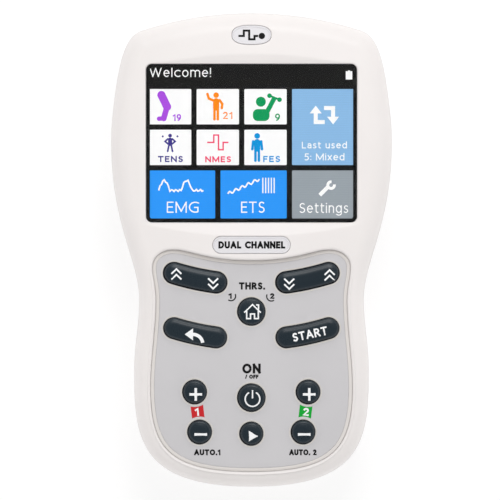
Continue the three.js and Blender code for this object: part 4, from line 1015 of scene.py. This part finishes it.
class TENS_OT_battery_door(bpy.types.Operator):
    """Makes the sliding battery door with its tongues, lip and finger grooves"""

    bl_idname = "tens.battery_door"
    bl_label = "Battery door"

    def execute(self, context):
        low, high = box_mm("battery_door")
        panel = combined(
            block(-DOOR_HALF, DOOR_HALF, -END_Y - 5, DOOR_END, low[2], high[2]),
            ("UNION", block(-RAIL_HALF, RAIL_HALF, -52, DOOR_END, high[2] - 0.8, high[2])),
            ("UNION", block(-21, 21, DOOR_END - 2, high[1], high[2] - 0.8, high[2])),
        )
        steps = [("INTERSECT", rear_form(body_outline()))]
        for number in range(5):
            y = -4 - 2.4 * number
            groove = rectangle(-11, y - 0.6, 11, y + 0.6, 0.58, 6)
            steps.append(("DIFFERENCE", prism(groove, -5, low[2] + 0.5)))
        arrow = np.array([
            (0, -20), (3.4, -17.2), (1.2, -17.2), (1.2, -15.6), (-1.2, -15.6), (-1.2, -17.2), (-3.4, -17.2),
        ])
        steps.append(("DIFFERENCE", prism(arrow, -5, low[2] + 0.3)))
        parts = combined(panel, *steps)
        piece("sliding_door", parts, finish("shell"), "battery_door", ["battery_door"], 30)
        return {"FINISHED"}


# ---------------------------------------------------------------- face plate and keys


def round_key(name):
    """A round key's middle and radius, from its flange in the frame."""
    low, high = box_mm(name)
    mid = (low + high) / 2
    return mid[0], mid[1], (high[0] - low[0]) / 2 - 0.6


def key_outline(name):
    """A function that gives a key's outline at a radius, the key's own radius and its hole's."""
    gap = ROCKER_GAP if "threshold" in name else KEY_GAP
    if name in LONG_KEYS:
        row, side = LONG_KEYS[name]
        shape, own = (lambda radius: arc_capsule(row, side, radius)), LONG_RADIUS
    else:
        x, y, own = round_key(name)
        shape = (lambda radius: circle(x, y, radius, 56))
    return shape, own - KEY_INSET, own + gap


def key_profile(radius):
    """The top of a key, from its wall to its middle: a quarter circle, then a low dome that flattens out."""
    edge = sizes("key_edge")
    turn = np.linspace(0, math.pi / 2, 8)[:-1]
    flat = radius - edge
    share = np.linspace(0, 1, 7)
    reach = np.concatenate([flat + edge * np.cos(turn), flat * (1 - 0.6 * share)])
    dome = KEY_TOP + KEY_DOME * (1 - (1 - share) ** 2)
    level = np.concatenate([KEY_TOP - edge + edge * np.sin(turn), dome])
    return reach, level


def key_height(name, points):
    """The level of a key's top at places on it, by their distance from its middle or its row's arc."""
    if name in LONG_KEYS:
        row, side = LONG_KEYS[name]
        x, y = side * points[:, 0], points[:, 1] - row - ROW_RADIUS
        ends = np.arcsin(np.array([LONG_INNER, LONG_OUTER]) / ROW_RADIUS)
        turn = np.clip(np.arctan2(x, -y), *ends)
        far = np.hypot(x - ROW_RADIUS * np.sin(turn), y + ROW_RADIUS * np.cos(turn))
    else:
        mid_x, mid_y, _ = round_key(name)
        far = np.hypot(points[:, 0] - mid_x, points[:, 1] - mid_y)
    reach, level = key_profile(key_outline(name)[1])
    return np.interp(far, reach[::-1], level[::-1])


class TENS_OT_face_plate(bpy.types.Operator):
    """Makes the grey face plate with a chamfered hole for each key"""

    bl_idname = "tens.face_plate"
    bl_label = "Face plate"

    def execute(self, context):
        pocket, chamfer = pocket_outline(), sizes("hole_chamfer")
        soft = 0.1
        wall = []
        for turn in np.linspace(0, math.pi / 2, 5):
            edge = offset(pocket, -PLATE_IN - soft * (1 - math.cos(turn)))
            wall.append(ring(edge, PLATE_TOP - soft * (1 - math.sin(turn))))
        parts = [band([ring(offset(pocket, -PLATE_IN), PLATE_LOW), *wall])]
        tops, feet, hole_highlights = [], [], []
        for name in [*ROUND_KEYS, *LONG_KEYS]:
            outline, _, reach = key_outline(name)
            hole = (lambda radius: outline(radius) + HOLE_SHIFT)
            bead = [(reach + out, PLATE_TOP + up) for out, up in
                    [(0.75, 0), (0.6, 0.05), (0.54, 0.08), (0.1, 0.08), (0.02, 0.04), (0, -0.04)]]
            wall = [(reach, PLATE_TOP - chamfer - 0.1), (reach, PLATE_LOW)]
            parts.append(band([ring(hole(radius), level) for radius, level in [*bead, *wall]]))
            tops.append(hole(bead[0][0]))
            feet.append(hole(reach))
            # A lighter ring film on each hole's bead: a painted highlight where the chamfer catches the
            # light.
            hole_highlights += film([hole(reach + 0.5)], PLATE_TOP + 0.075, 0, 0.05, [hole(reach + 0.12)])
        outer = offset(pocket, -PLATE_IN - soft)
        free = clear_of(grid_points(-31, -67, 31, 1, 2.0), outer, tops, 0.6)
        parts.append(carpet(outer, tops, lambda flat: np.full(len(flat), PLATE_TOP), [free]))
        parts.append(carpet(offset(pocket, -PLATE_IN), feet, lambda flat: np.full(len(flat), PLATE_LOW)))
        piece("key_face", parts, finish("plate"), "case", ["face_plate"], 40)
        piece("key_collars", hole_highlights, finish("collar"), "case")
        trim = [
            (-0.3, 26.5), (-0.3, PLATE_TOP + 0.02), (-0.42, PLATE_TOP + 0.1), (-1.25, PLATE_TOP + 0.06),
            (-1.33, PLATE_TOP), (-1.33, 26.5),
        ]
        rings = [ring(offset(pocket, out), level) for out, level in trim]
        piece("pocket_trim", [band([*rings, rings[0]])], finish("trim"), "case", sharp=50)
        return {"FINISHED"}


class TENS_OT_keys(bpy.types.Operator):
    """Makes the round press keys, the long press keys and the long rocker keys"""

    bl_idname = "tens.keys"
    bl_label = "Keys"

    def execute(self, context):
        for name in [*ROUND_KEYS, *LONG_KEYS]:
            outline, radius, _ = key_outline(name)
            flange = radius + KEY_INSET + 0.6
            plunger = 1.7 if name in LONG_KEYS else 2.2
            drop = 0.6 if "threshold" in name else 0.0
            top = PLATE_LOW - 0.3 - drop
            low = top - 0.8
            sole = box_mm(name)[0][2]
            foot = [(plunger, sole), (plunger, low), (flange, low), (flange, top), (radius, top)]
            levels = [*foot, *zip(*key_profile(radius))]
            parts = closed([ring(outline(reach), level) for reach, level in levels])
            piece(name.replace("key_", "cap_"), parts, finish("key"), name, [name], 35)
        return {"FINISHED"}


def mark(name, shapes, key):
    """A printed mark on a key's top, which moves with the key."""
    parts = film(shapes, lambda flat: key_height(key, flat), 0.004, sizes("print_height"), pitch=0.35)
    piece(name, parts, finish("key_print"), key)


def chevrons(x, y, up):
    """Two stacked chevrons, pointing up or down."""
    rise = 1.45 if up else -1.45
    return [stroke([(x - 1.5, y + base), (x, y + base + rise), (x + 1.5, y + base)], 0.5)
            for base in [0.1 * rise, -1.05 * rise]]


class TENS_OT_key_marks(bpy.types.Operator):
    """Prints the white marks on the keys"""

    bl_idname = "tens.key_marks"
    bl_label = "Key marks"

    def execute(self, context):
        line = 0.42
        places = {name: np.add(round_key(name)[:2], MARK_SHIFT) for name in ROUND_KEYS}
        x, y = places["key_home"]
        roof, chimney = [(-2.5, 0.4), (0, 2.8), (2.5, 0.4)], [(1.1, 2.7), (1.8, 2.7), (1.8, 1.3)]
        half = [(1.75, 0.9), (1.75, -1.4), (0.6, -1.4), (0.6, 0)]
        walls = [*[(-across, up) for across, up in half], *half[::-1]]
        mark("mark_home", [stroke(np.add(path, [x, y]), line) for path in [roof, walls, chimney]], "key_home")
        x, y = places["key_power"]
        bow_line, bar = arc(x, y + 0.3, 2.2, 62, -242), [(x, y + 3), (x, y + 0.5)]
        mark("mark_power", [stroke(bow_line, line), stroke(bar, line)], "key_power")
        x, y = places["key_play"]
        mark("mark_play", [np.array([(x - 1.1, y + 1.6), (x - 1.1, y - 1.6), (x + 1.7, y)])], "key_play")
        for number in ["1", "2"]:
            x, y = places[f"key_plus_{number}"]
            bars = [[(x - 1.9, y), (x + 1.9, y)], [(x, y - 1.9), (x, y + 1.9)]]
            mark(f"mark_plus_{number}", [stroke(bar, 0.75) for bar in bars], f"key_plus_{number}")
            x, y = places[f"key_minus_{number}"]
            mark(f"mark_minus_{number}", [stroke([(x - 1.9, y), (x + 1.9, y)], 0.8)], f"key_minus_{number}")
        x, y = row_place(LOWER_ROW, -1, 17.1)[0]
        mark("mark_back", [
            stroke(arc(x - 0.4, y - 3.2, 2.9, 92, 8), 1.0),
            np.array([(x - 2.9, y - 0.3), (x - 0.4, y - 2.1), (x - 0.4, y + 1.5)]),
        ], "key_back")
        mark("mark_start", words("START", 17.75, -26.45, 10.6, 2.6, 0.5, 12), "key_start")
        first = chevrons(-22.5, -7.3, True) + chevrons(-11.5, -10.0, False)
        mark("mark_threshold_1", first, "key_threshold_1")
        second = chevrons(23.4, -7.6, True) + chevrons(11.3, -10.1, False)
        mark("mark_threshold_2", second, "key_threshold_2")
        return {"FINISHED"}


class TENS_OT_legends(bpy.types.Operator):
    """Prints the legends and the two channel flags on the face plate"""

    bl_idname = "tens.legends"
    bl_label = "Legends"

    def execute(self, context):
        high = sizes("print_height")
        shapes = [
            *words("THRS.", 0.15, -11.85, 7.8, 2.15, 0.54),
            *words("ON", 0.0, -37, 5.5, 2.95, 0.72),
            *words("/ OFF", 0.1, -38.55, 4.0, 1.2, 0.34),
            *words("AUTO.1", -13.25, -61.5, 7.9, 1.75, 0.47),
            *words("AUTO. 2", 15.4, -61.5, 8.2, 1.75, 0.47),
            *words("1", -6.4, -14.6, 0.95, 1.7, 0.48),
            *words("2", 6.2, -14.65, 1.3, 1.7, 0.48),
            stroke(arc(-6.15, -13.8, 1.4, -125, 25), 0.36),
            stroke(arc(5.95, -13.9, 1.4, -55, -205), 0.36),
        ]
        piece("legends", film(shapes, PLATE_TOP, 0.004, high), finish("legend"), "case")
        for number, side in [("1", -1), ("2", 1)]:
            upper, lower = round_key(f"key_plus_{number}"), round_key(f"key_minus_{number}")
            top_turn, foot_turn = ((-123, -74), (60, 108)) if side > 0 else ((-106, -57), (72, 120))
            top = arc(upper[0], upper[1], upper[2] + 0.85, *top_turn, 12)
            foot = arc(lower[0], lower[1], lower[2] + 0.9, *foot_turn, 12)
            flag = np.vstack([top, foot])
            tone = "red_print" if side < 0 else "green_print"
            parts = film([flag], PLATE_TOP, 0.004, high)
            piece(f"flag_{number}", parts, finish(tone), "case")
            digit = words(number, side * 16.25, -49.7, 1.15 if side < 0 else 1.75, 2.4, 0.55, side * -5)
            parts = film(digit, PLATE_TOP, high, 2 * high)
            piece(f"digit_{number}", parts, finish("key_print"), "case")
        return {"FINISHED"}


class TENS_OT_badges(bpy.types.Operator):
    """Makes the oval badge with a pulse line and the pill-shaped name plate"""

    bl_idname = "tens.badges"
    bl_label = "Badge and name plate"

    def execute(self, context):
        high = sizes("print_height")
        nodes = {"oval_badge": "badge", "name_pill": "name_plate"}
        for (name, node), (outline, low, top) in zip(nodes.items(), plate_places()):
            bead = [
                (0, low), (0, top - 0.15), (-0.1, top), (-0.3, top + 0.1), (-0.5, top), (-0.6, top - 0.12),
            ]
            rings = [ring(outline(grow), level) for grow, level in bead]
            parts = [fan(rings[0]), band(rings), fan(rings[-1])]
            piece(name, parts, finish("badge"), "case", [node], 40)
            level = top - 0.12
            if node == "name_plate":
                shapes = words("DUAL CHANNEL", 0.1, 0.45, 20.0, 2.15, 0.56)
            else:
                y = outline(0)[:, 1].mean()
                pulse = [
                    (-3.9, -0.3), (-2.3, -0.3), (-2.3, 1.3), (-0.7, 1.3), (-0.7, -1.3), (0.9, -1.3),
                    (0.9, -0.3), (2, -0.3),
                ]
                shapes = [stroke(np.add(pulse, [0, y]), 0.62), circle(3.1, y - 0.3, 0.95, 32)]
            parts = film(shapes, level, 0.004, high)
            piece(f"{name}_print", parts, finish("legend"), "case")
        return {"FINISHED"}


# ---------------------------------------------------------------- display


class TENS_OT_window(bpy.types.Operator):
    """Makes the clear window and the dark mask printed round its back"""

    bl_idname = "tens.window"
    bl_label = "Window"

    def execute(self, context):
        low, high = WINDOW_LOW[2], WINDOW_HIGH[2]
        rings = [(-0.15, low), (0, low + 0.15), (0, high - 0.25), (-0.05, high - 0.1), (-0.25, high)]
        parts = closed([ring(window_outline(grow), level) for grow, level in rings])
        piece("clear_window", parts, finish("glass"), "case", ["display_window"], 25)
        parts = film([window_outline(-0.05)], low - 0.08, 0, 0.06, [window_outline(-1.15)])
        piece("window_mask", parts, finish("mask"), "case")
        return {"FINISHED"}


TILE_EDGE, TILE_FOOT, TILE_GAP = 0.85, 1.2, 1.6
SMALL_TILE = 12.7


def run(start, lengths):
    """The low and high end of each tile in a run of tiles set a gap apart."""
    lows = start + np.cumsum([0, *lengths[:-1]]) + TILE_GAP * np.arange(len(lengths))
    return [(low, low + length) for low, length in zip(lows, lengths)]


TILE_ROWS = run(WINDOW_LOW[1] + TILE_FOOT, [14.4, 10.6, 10.6])
WIDE_TILE = WINDOW_SIZE[0] - 2 * TILE_EDGE - 3 * (SMALL_TILE + TILE_GAP)
TILE_COLUMNS = run(WINDOW_LOW[0] + TILE_EDGE, [SMALL_TILE, SMALL_TILE, SMALL_TILE, WIDE_TILE])
HALF_COLUMNS = run(WINDOW_LOW[0] + TILE_EDGE, [(3 * SMALL_TILE + TILE_GAP) / 2] * 2)


def tile(column, row):
    """A tile of the display, between a column's sides and a row's."""
    return rectangle(column[0], row[0], column[1], row[1], 0.3, 4)


def limb(path, width):
    """A rounded bar along a path: a stroke with a disc at each of its places."""
    return [stroke(path, width), *[circle(x, y, 0.52 * width, 14) for x, y in path]]


def person(x, y, tall, *limbs):
    """A plain figure about its waist: a round head, a trunk and bent limbs, in tenths of its height."""
    unit = tall / 10
    trunk = [(x, y + 1.8 * unit), (x, y - 0.4 * unit)]
    shapes = [circle(x, y + 4 * unit, unit, 20), *limb(trunk, 2.2 * unit)]
    for path in limbs:
        shapes += limb([(x + across * unit, y + up * unit) for across, up in path], 0.9 * unit)
    return shapes


def loop_arrow(x, y):
    """Two bent arrows that chase each other, the second the first turned half round."""
    shaft = stroke([(0.1, -2.1), (-2.6, -2.1), (-2.6, 0.6)], 1.2)
    half = [shaft, np.array([(-4.4, 0.5), (-0.8, 0.5), (-2.6, 2.8)])]
    return [sign * shape + [x, y] for sign in (1, -1) for shape in half]


def trace(x, y, width, height, cycles, ripple):
    """A signal's line: the positive halves of a sine, with a smaller, faster sine on it."""
    share = np.linspace(0, 1, 33)
    level = np.maximum(np.sin(2 * math.pi * cycles * share), 0) + 0.1 * np.sin(2 * math.pi * ripple * share)
    return stroke(np.column_stack([x + width * (share - 0.5), y + height * level]), 0.45)


def ramp(x, y, width, height, ripple):
    """A rising line with a sine on it."""
    share = np.linspace(0, 1, 33)
    level = share + 0.1 * np.sin(2 * math.pi * ripple * share)
    return stroke(np.column_stack([x + width * (share - 0.5), y + height * level]), 0.45)


def screen_shapes():
    """Each part of the picture on the display: its colour, its layer and its shapes."""
    low_row, middle_row, top_row = TILE_ROWS
    left, wide = TILE_COLUMNS[0], TILE_COLUMNS[-1]
    x1, x2, x3, x4 = (sum(column) / 2 for column in TILE_COLUMNS)
    low, middle, top = (row[0] for row in TILE_ROWS)
    standing = [[(-0.6, -1), (-0.6, -4.6)], [(0.6, -1), (0.6, -4.6)]]
    akimbo = [path for side in (-1, 1) for path in [
        [(1.2 * side, 2.2), (2.7 * side, 0.9), (1.2 * side, -0.4)], [(0.6 * side, -1), (1.3 * side, -4.4)]]]
    beside = [[(-1.4, 2.1), (-1.7, -0.6)], [(1.4, 2.1), (1.7, -0.6)]]
    pulse = [(-3.2, 0), (-1.2, 0), (-1.2, 2.2), (0.2, 2.2), (0.2, -2.2), (1.6, -2.2), (1.6, 0), (3.2, 0)]
    emg, ets = (sum(column) / 2 for column in HALF_COLUMNS)
    cell_x, cell_y = WINDOW_HIGH[0] - 1.4, WINDOW_HIGH[1] - 2.15
    white, small = (255, 255, 255), TILE_COLUMNS[:3]
    return {
        "screen_white": (white, 0, [
            *[tile(column, row) for row in (middle_row, top_row) for column in small],
            rectangle(cell_x - 1.95, cell_y - 2.5, cell_x, cell_y),
            rectangle(cell_x - 1.25, cell_y - 0.1, cell_x - 0.7, cell_y + 0.25),
        ]),
        "screen_light_blue": ((141, 188, 230), 0, [tile(wide, (middle, top_row[1]))]),
        "screen_blue": ((45, 153, 251), 0, [tile(column, low_row) for column in HALF_COLUMNS]),
        "screen_grey": ((154, 163, 170), 0, [tile(wide, low_row)]),
        "screen_purple": ((172, 80, 225), 1, [
            *limb([(x1 - 2.6, top + 8.8), (x1 - 0.9, top + 5.3)], 2.4),
            *limb([(x1 - 0.9, top + 5.3), (x1 - 1.9, top + 1.8)], 1.7),
            *limb([(x1 - 1.9, top + 1.8), (x1 - 3.3, top + 1.7)], 1.3),
            *words("19", x1 + 2.05, top + 1, 2.5, 2.1, 0.4),
        ]),
        "screen_orange": ((255, 140, 20), 1, [
            *person(x2 - 0.5, top + 5.4, 8.4, [(-1.2, 2.2), (-2.6, 2.8), (-3.1, 4.4)],
                    [(1.2, 2.2), (2.2, 0.9), (2, -0.6)], *standing),
            *words("21", x2 + 2.95, top + 1.6, 2.85, 2.15, 0.36),
        ]),
        "screen_green": ((14, 155, 91), 1, [
            circle(x3 - 1.4, top + 6.8, 1.5, 20),
            rectangle(x3 - 3.8, top + 1, x3 + 1.2, top + 4.6, 1.5, 8),
            *limb([(x3 + 0.3, top + 3.4), (x3 + 2.5, top + 7.6)], 1.4),
            *limb([(x3 + 1.2, top + 8.6), (x3 + 4.2, top + 7.4)], 0.6),
            circle(x3 + 1.2, top + 8.6, 0.7, 16), circle(x3 + 4.2, top + 7.4, 0.7, 16),
            *words("9", x3 + 3.6, top + 1, 1.5, 2.25, 0.4),
        ]),
        "screen_navy": ((66, 57, 140), 1, [
            *person(x1, middle + 6.6, 5.6, *akimbo),
            circle(x1 - 2.2, middle + 8.6, 0.3, 12), circle(x1 + 2.2, middle + 8.6, 0.3, 12),
            *words("TENS", x1 + 0.1, middle + 0.9, 7.5, 1.83, 0.4),
        ]),
        "screen_pink": ((240, 70, 110), 1, [
            stroke(np.add(pulse, [x2, middle + 6.8]), 0.44),
            *words("NMES", x2 + 0.1, middle + 0.85, 7.75, 1.8, 0.4),
        ]),
        "screen_sky": ((10, 150, 221), 1, [
            *person(x3 - 2.5, middle + 5.3, 8.6, *beside, *standing),
            *words("FES", x3 + 1.85, middle + 0.9, 5.1, 1.85, 0.4),
        ]),
        "screen_marks": (white, 1, [
            *loop_arrow(x4 + 0.4, middle + 15),
            trace(emg - 0.3, low + 8.4, 13.4, 3, 2, 11),
            ramp(ets - 3, low + 7.4, 9.4, 4.4, 5),
            *[rectangle(x, low + 7.6, x + 0.35, low + 12.2) for x in ets + 2.6 + 0.85 * np.arange(5)],
            stroke([(x4 - 1, low + 7), (x4 + 1.8, low + 9.8)], 1.15),
            stroke(arc(x4 + 2.4, low + 10, 1, 82, 372), 0.85),
        ]),
        "screen_words": (white, 1, [
            *words("Welcome!", left[0] + 9.4, top_row[1] + 3.6, 18.4, 2.8, 0.31),
            *words("EMG", emg + 0.2, low + 1.7, 9.5, 3.35, 0.36),
            *words("ETS", ets - 0.2, low + 1.7, 7.1, 3.35, 0.36),
            *words("Settings", x4 + 0.2, low + 1.65, 14.7, 3, 0.32),
            *words("Last used", x4 + 0.4, middle + 5, 13.5, 2, 0.27),
            *words("5: Mixed", x4 + 0.4, middle + 1.4, 12, 2.1, 0.28),
        ]),
    }


class TENS_OT_screen(bpy.types.Operator):
    """Makes the lit tiles, pictograms and words of the display"""

    bl_idname = "tens.screen"
    bl_label = "Screen"

    def execute(self, context):
        for name, (tone, layer, shapes) in screen_shapes().items():
            low = 0.016 * layer
            parts = film(shapes, SCREEN_Z, low, low + 0.014)
            piece(name, parts, lit(name, linear(*tone)), "case")
        return {"FINISHED"}


# ---------------------------------------------------------------- sockets, cells and the rest


class TENS_OT_sockets(bpy.types.Operator):
    """Makes the three lead sockets in the top end"""

    bl_idname = "tens.sockets"
    bl_label = "Lead sockets"

    def execute(self, context):
        for name, mid in socket_places().items():
            face = box_mm(name)[1][1]
            profile = [
                (0, -12), (3.4, -12), (3.4, -2), (4, -2), (4, -0.3), (3.9, -0.1), (3.7, 0), (2.85, 0),
                (2.68, -0.06), (2.6, -0.25), (2.6, -1.6), (1.3, -1.6), (1.2, -1.75), (1.2, -9), (0, -9),
            ]
            tone, centre = SOCKET_TONES[name], (mid[0], face, mid[2])
            jack, contact = name.replace("socket", "jack"), name.replace("socket", "contact")
            parts = lathe(profile, centre)
            piece(jack, parts, finish(f"{tone}_socket"), "case", [name], 40)
            pin = [(0, -9), (1.15, -9), (1.15, -2.6), (0.95, -2.6), (0.95, -8.6), (0, -8.6)]
            piece(contact, lathe(pin, centre, 32), finish("spring"), "case")
        return {"FINISHED"}


class TENS_OT_cells(bpy.types.Operator):
    """Makes the four cells, their springs and the housing screws"""

    bl_idname = "tens.cells"
    bl_label = "Cells, springs and screws"

    def execute(self, context):
        for number in range(1, 5):
            low, high = box_mm(f"battery_cell_{number}")
            mid = (low + high) / 2
            up = 1 if number % 2 else -1
            base = low[1] if up > 0 else high[1]
            length, radius = high[1] - low[1], (high[0] - low[0]) / 2
            profile = np.array([
                (0, 0.25), (4.6, 0.25), (4.9, 0), (radius - 0.8, 0), (radius - 0.2, 0.2), (radius, 0.8),
                (radius, length - 1.8), (radius - 0.2, length - 1.2), (radius - 0.8, length - 1),
                (3.4, length - 1), (2.9, length - 0.9), (2.7, length - 0.4), (2.45, length), (0, length),
            ]) * [1, up]
            parts = lathe(profile, (mid[0], base, mid[2]))
            piece(f"cell_{number}", parts, finish("cell"), "case", [f"battery_cell_{number}"])
            low, high = box_mm(f"battery_spring_{number}")
            start, rise = (low[1], 1) if up > 0 else (high[1], -1)
            share = np.linspace(0, 1, 110)
            turn = 2 * math.pi * 3.4 * share
            reach = 2.8 - 1.2 * share
            span = high[1] - low[1] - 0.7
            along = start + rise * (0.35 + span * share)
            path = np.column_stack([mid[0] + reach * np.cos(turn), along, mid[2] + reach * np.sin(turn)])
            piece(f"spring_{number}", tube(path, 0.33), finish("spring"), "case",
                  [f"battery_spring_{number}"])
        for name, (x, y, head) in screw_places().items():
            half = np.array([
                (0, 0), (1.9, 0), (2.2, 0.2), (2.3, 0.5), (2.3, 1.8), (1.2, 1.8), (1.2, 17.5), (0, 19),
            ])
            turn = np.linspace(0, 2 * math.pi, 32, endpoint=False)[None, :]
            grid = np.stack(np.broadcast_arrays(
                x + half[:, :1] * np.cos(turn), y + half[:, :1] * np.sin(turn), head + half[:, 1:]), -1)
            cross = [("DIFFERENCE", block(x - a, x + a, y - b, y + b, head - 1, head + 0.8))
                     for a, b in [(1.3, 0.32), (0.32, 1.3)]]
            screw, parts = name.replace("housing_", "cross_"), combined([band(grid)], *cross)
            piece(screw, parts, finish("screw"), "case", [name])
        return {"FINISHED"}


KEPT = {
    "display_panel": "panel", "display_frame": "holder", "display_flex": "flex", "keypad_mat": "rubber",
    "main_board": "board", "controller_chip": "component", "buzzer": "component",
    "transformer_1": "winding", "transformer_2": "winding", "contact_link_lower_1": "spring",
    "contact_link_lower_2": "spring", "contact_link_upper": "spring", "contact_positive": "spring",
    "contact_negative": "spring",
}


class TENS_OT_inner_parts(bpy.types.Operator):
    """Gives the inner parts that stay as they are their finishes"""

    bl_idname = "tens.inner_parts"
    bl_label = "Inner parts"

    def execute(self, context):
        kept = dict(KEPT)
        kept.update({name: "carbon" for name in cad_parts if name.startswith("pill_")})
        for name, material in kept.items():
            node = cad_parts[name]
            node.data.materials.clear()
            node.data.materials.append(finish(material))
        return {"FINISHED"}


# ---------------------------------------------------------------- stage


def lamp(name, place, size, power):
    """A square soft lamp that faces the object."""
    light = bpy.data.lights.new(name, "AREA")
    light.size, light.energy = size, power
    obj = bpy.data.objects.new(name, light)
    bpy.context.scene.collection.objects.link(obj)
    obj.location = place
    obj.rotation_euler = obj.location.to_track_quat("Z", "Y").to_euler()


class TENS_OT_stage(bpy.types.Operator):
    """Makes the pale floor, the soft light and the camera above the unit"""

    bl_idname = "tens.stage"
    bl_label = "Stage"

    def execute(self, context):
        scene = context.scene
        mesh = bpy.data.meshes.new("floor")
        far = 6.0
        corners = [(*corner, -5e-5) for corner in rectangle(-far, -far, far, far)]
        mesh.from_pydata(corners, [], [(0, 1, 2, 3)])
        mesh.materials.append(finish("floor"))
        floor = bpy.data.objects.new("floor", mesh)
        scene.collection.objects.link(floor)
        world = bpy.data.worlds.new("studio")
        world.use_nodes = True
        nodes, links = world.node_tree.nodes, world.node_tree.links
        place, parts = nodes.new("ShaderNodeTexCoord"), nodes.new("ShaderNodeSeparateXYZ")
        links.new(place.outputs["Generated"], parts.inputs["Vector"])
        total = nodes.new("ShaderNodeMath")
        for slot, levels in enumerate([(0.02, 0.4, 0.1, 1.42), (0.45, 0.9, 0.0, -1.1)]):
            part = nodes.new("ShaderNodeMapRange")
            for socket, value in zip(["From Min", "From Max", "To Min", "To Max"], levels):
                part.inputs[socket].default_value = value
            links.new(parts.outputs["Z"], part.inputs["Value"])
            links.new(part.outputs["Result"], total.inputs[slot])
        links.new(total.outputs["Value"], nodes["Background"].inputs["Strength"])
        nodes["Background"].inputs["Color"].default_value = (1, 1, 1, 1)
        scene.world = world
        lamp("key_lamp", (0.03, 0.24, 0.39), 0.2, 0.55)
        camera = bpy.data.objects.new("camera", bpy.data.cameras.new("camera"))
        camera.data.lens, camera.data.sensor_width = 576, 36
        camera.data.clip_start, camera.data.clip_end = 0.1, 20
        camera.location = (-0.00045, 0.0, 2.425)
        scene.collection.objects.link(camera)
        scene.camera = camera
        scene.view_settings.view_transform = "Standard"
        return {"FINISHED"}


OPERATORS = [
    TENS_OT_front_shell, TENS_OT_rear_shell, TENS_OT_battery_door, TENS_OT_face_plate, TENS_OT_keys,
    TENS_OT_key_marks, TENS_OT_legends, TENS_OT_badges, TENS_OT_window, TENS_OT_screen, TENS_OT_sockets,
    TENS_OT_cells, TENS_OT_inner_parts, TENS_OT_stage,
]


class TENS_PT_panel(bpy.types.Panel):
    """Lists the sizes, the colours and one button for each piece"""

    bl_idname = "TENS_PT_panel"
    bl_label = "TENS Unit"
    bl_space_type = "VIEW_3D"
    bl_region_type = "UI"
    bl_category = "TENS Unit"

    def draw(self, context):
        for group in [context.scene.tens_sizes, context.scene.tens_colours]:
            for name in group.bl_rna.properties.keys():
                if name not in {"rna_type", "name"}:
                    self.layout.prop(group, name)
        for operator in OPERATORS:
            self.layout.operator(operator.bl_idname)


CLASSES = [TensSizes, TensColours, *OPERATORS, TENS_PT_panel]


def register():
    """Registers the classes and hangs their properties on the scene."""
    for cls in CLASSES:
        bpy.utils.register_class(cls)
    bpy.types.Scene.tens_sizes = PointerProperty(type=TensSizes)
    bpy.types.Scene.tens_colours = PointerProperty(type=TensColours)


def unregister():
    """Takes away all that register added."""
    del bpy.types.Scene.tens_sizes
    del bpy.types.Scene.tens_colours
    for cls in reversed(CLASSES):
        bpy.utils.unregister_class(cls)


def main():
    """Runs every operator in turn."""
    register()
    for operator in OPERATORS:
        group, name = operator.bl_idname.split(".")
        getattr(getattr(bpy.ops, group), name)()


if __name__ == "__main__":
    main()
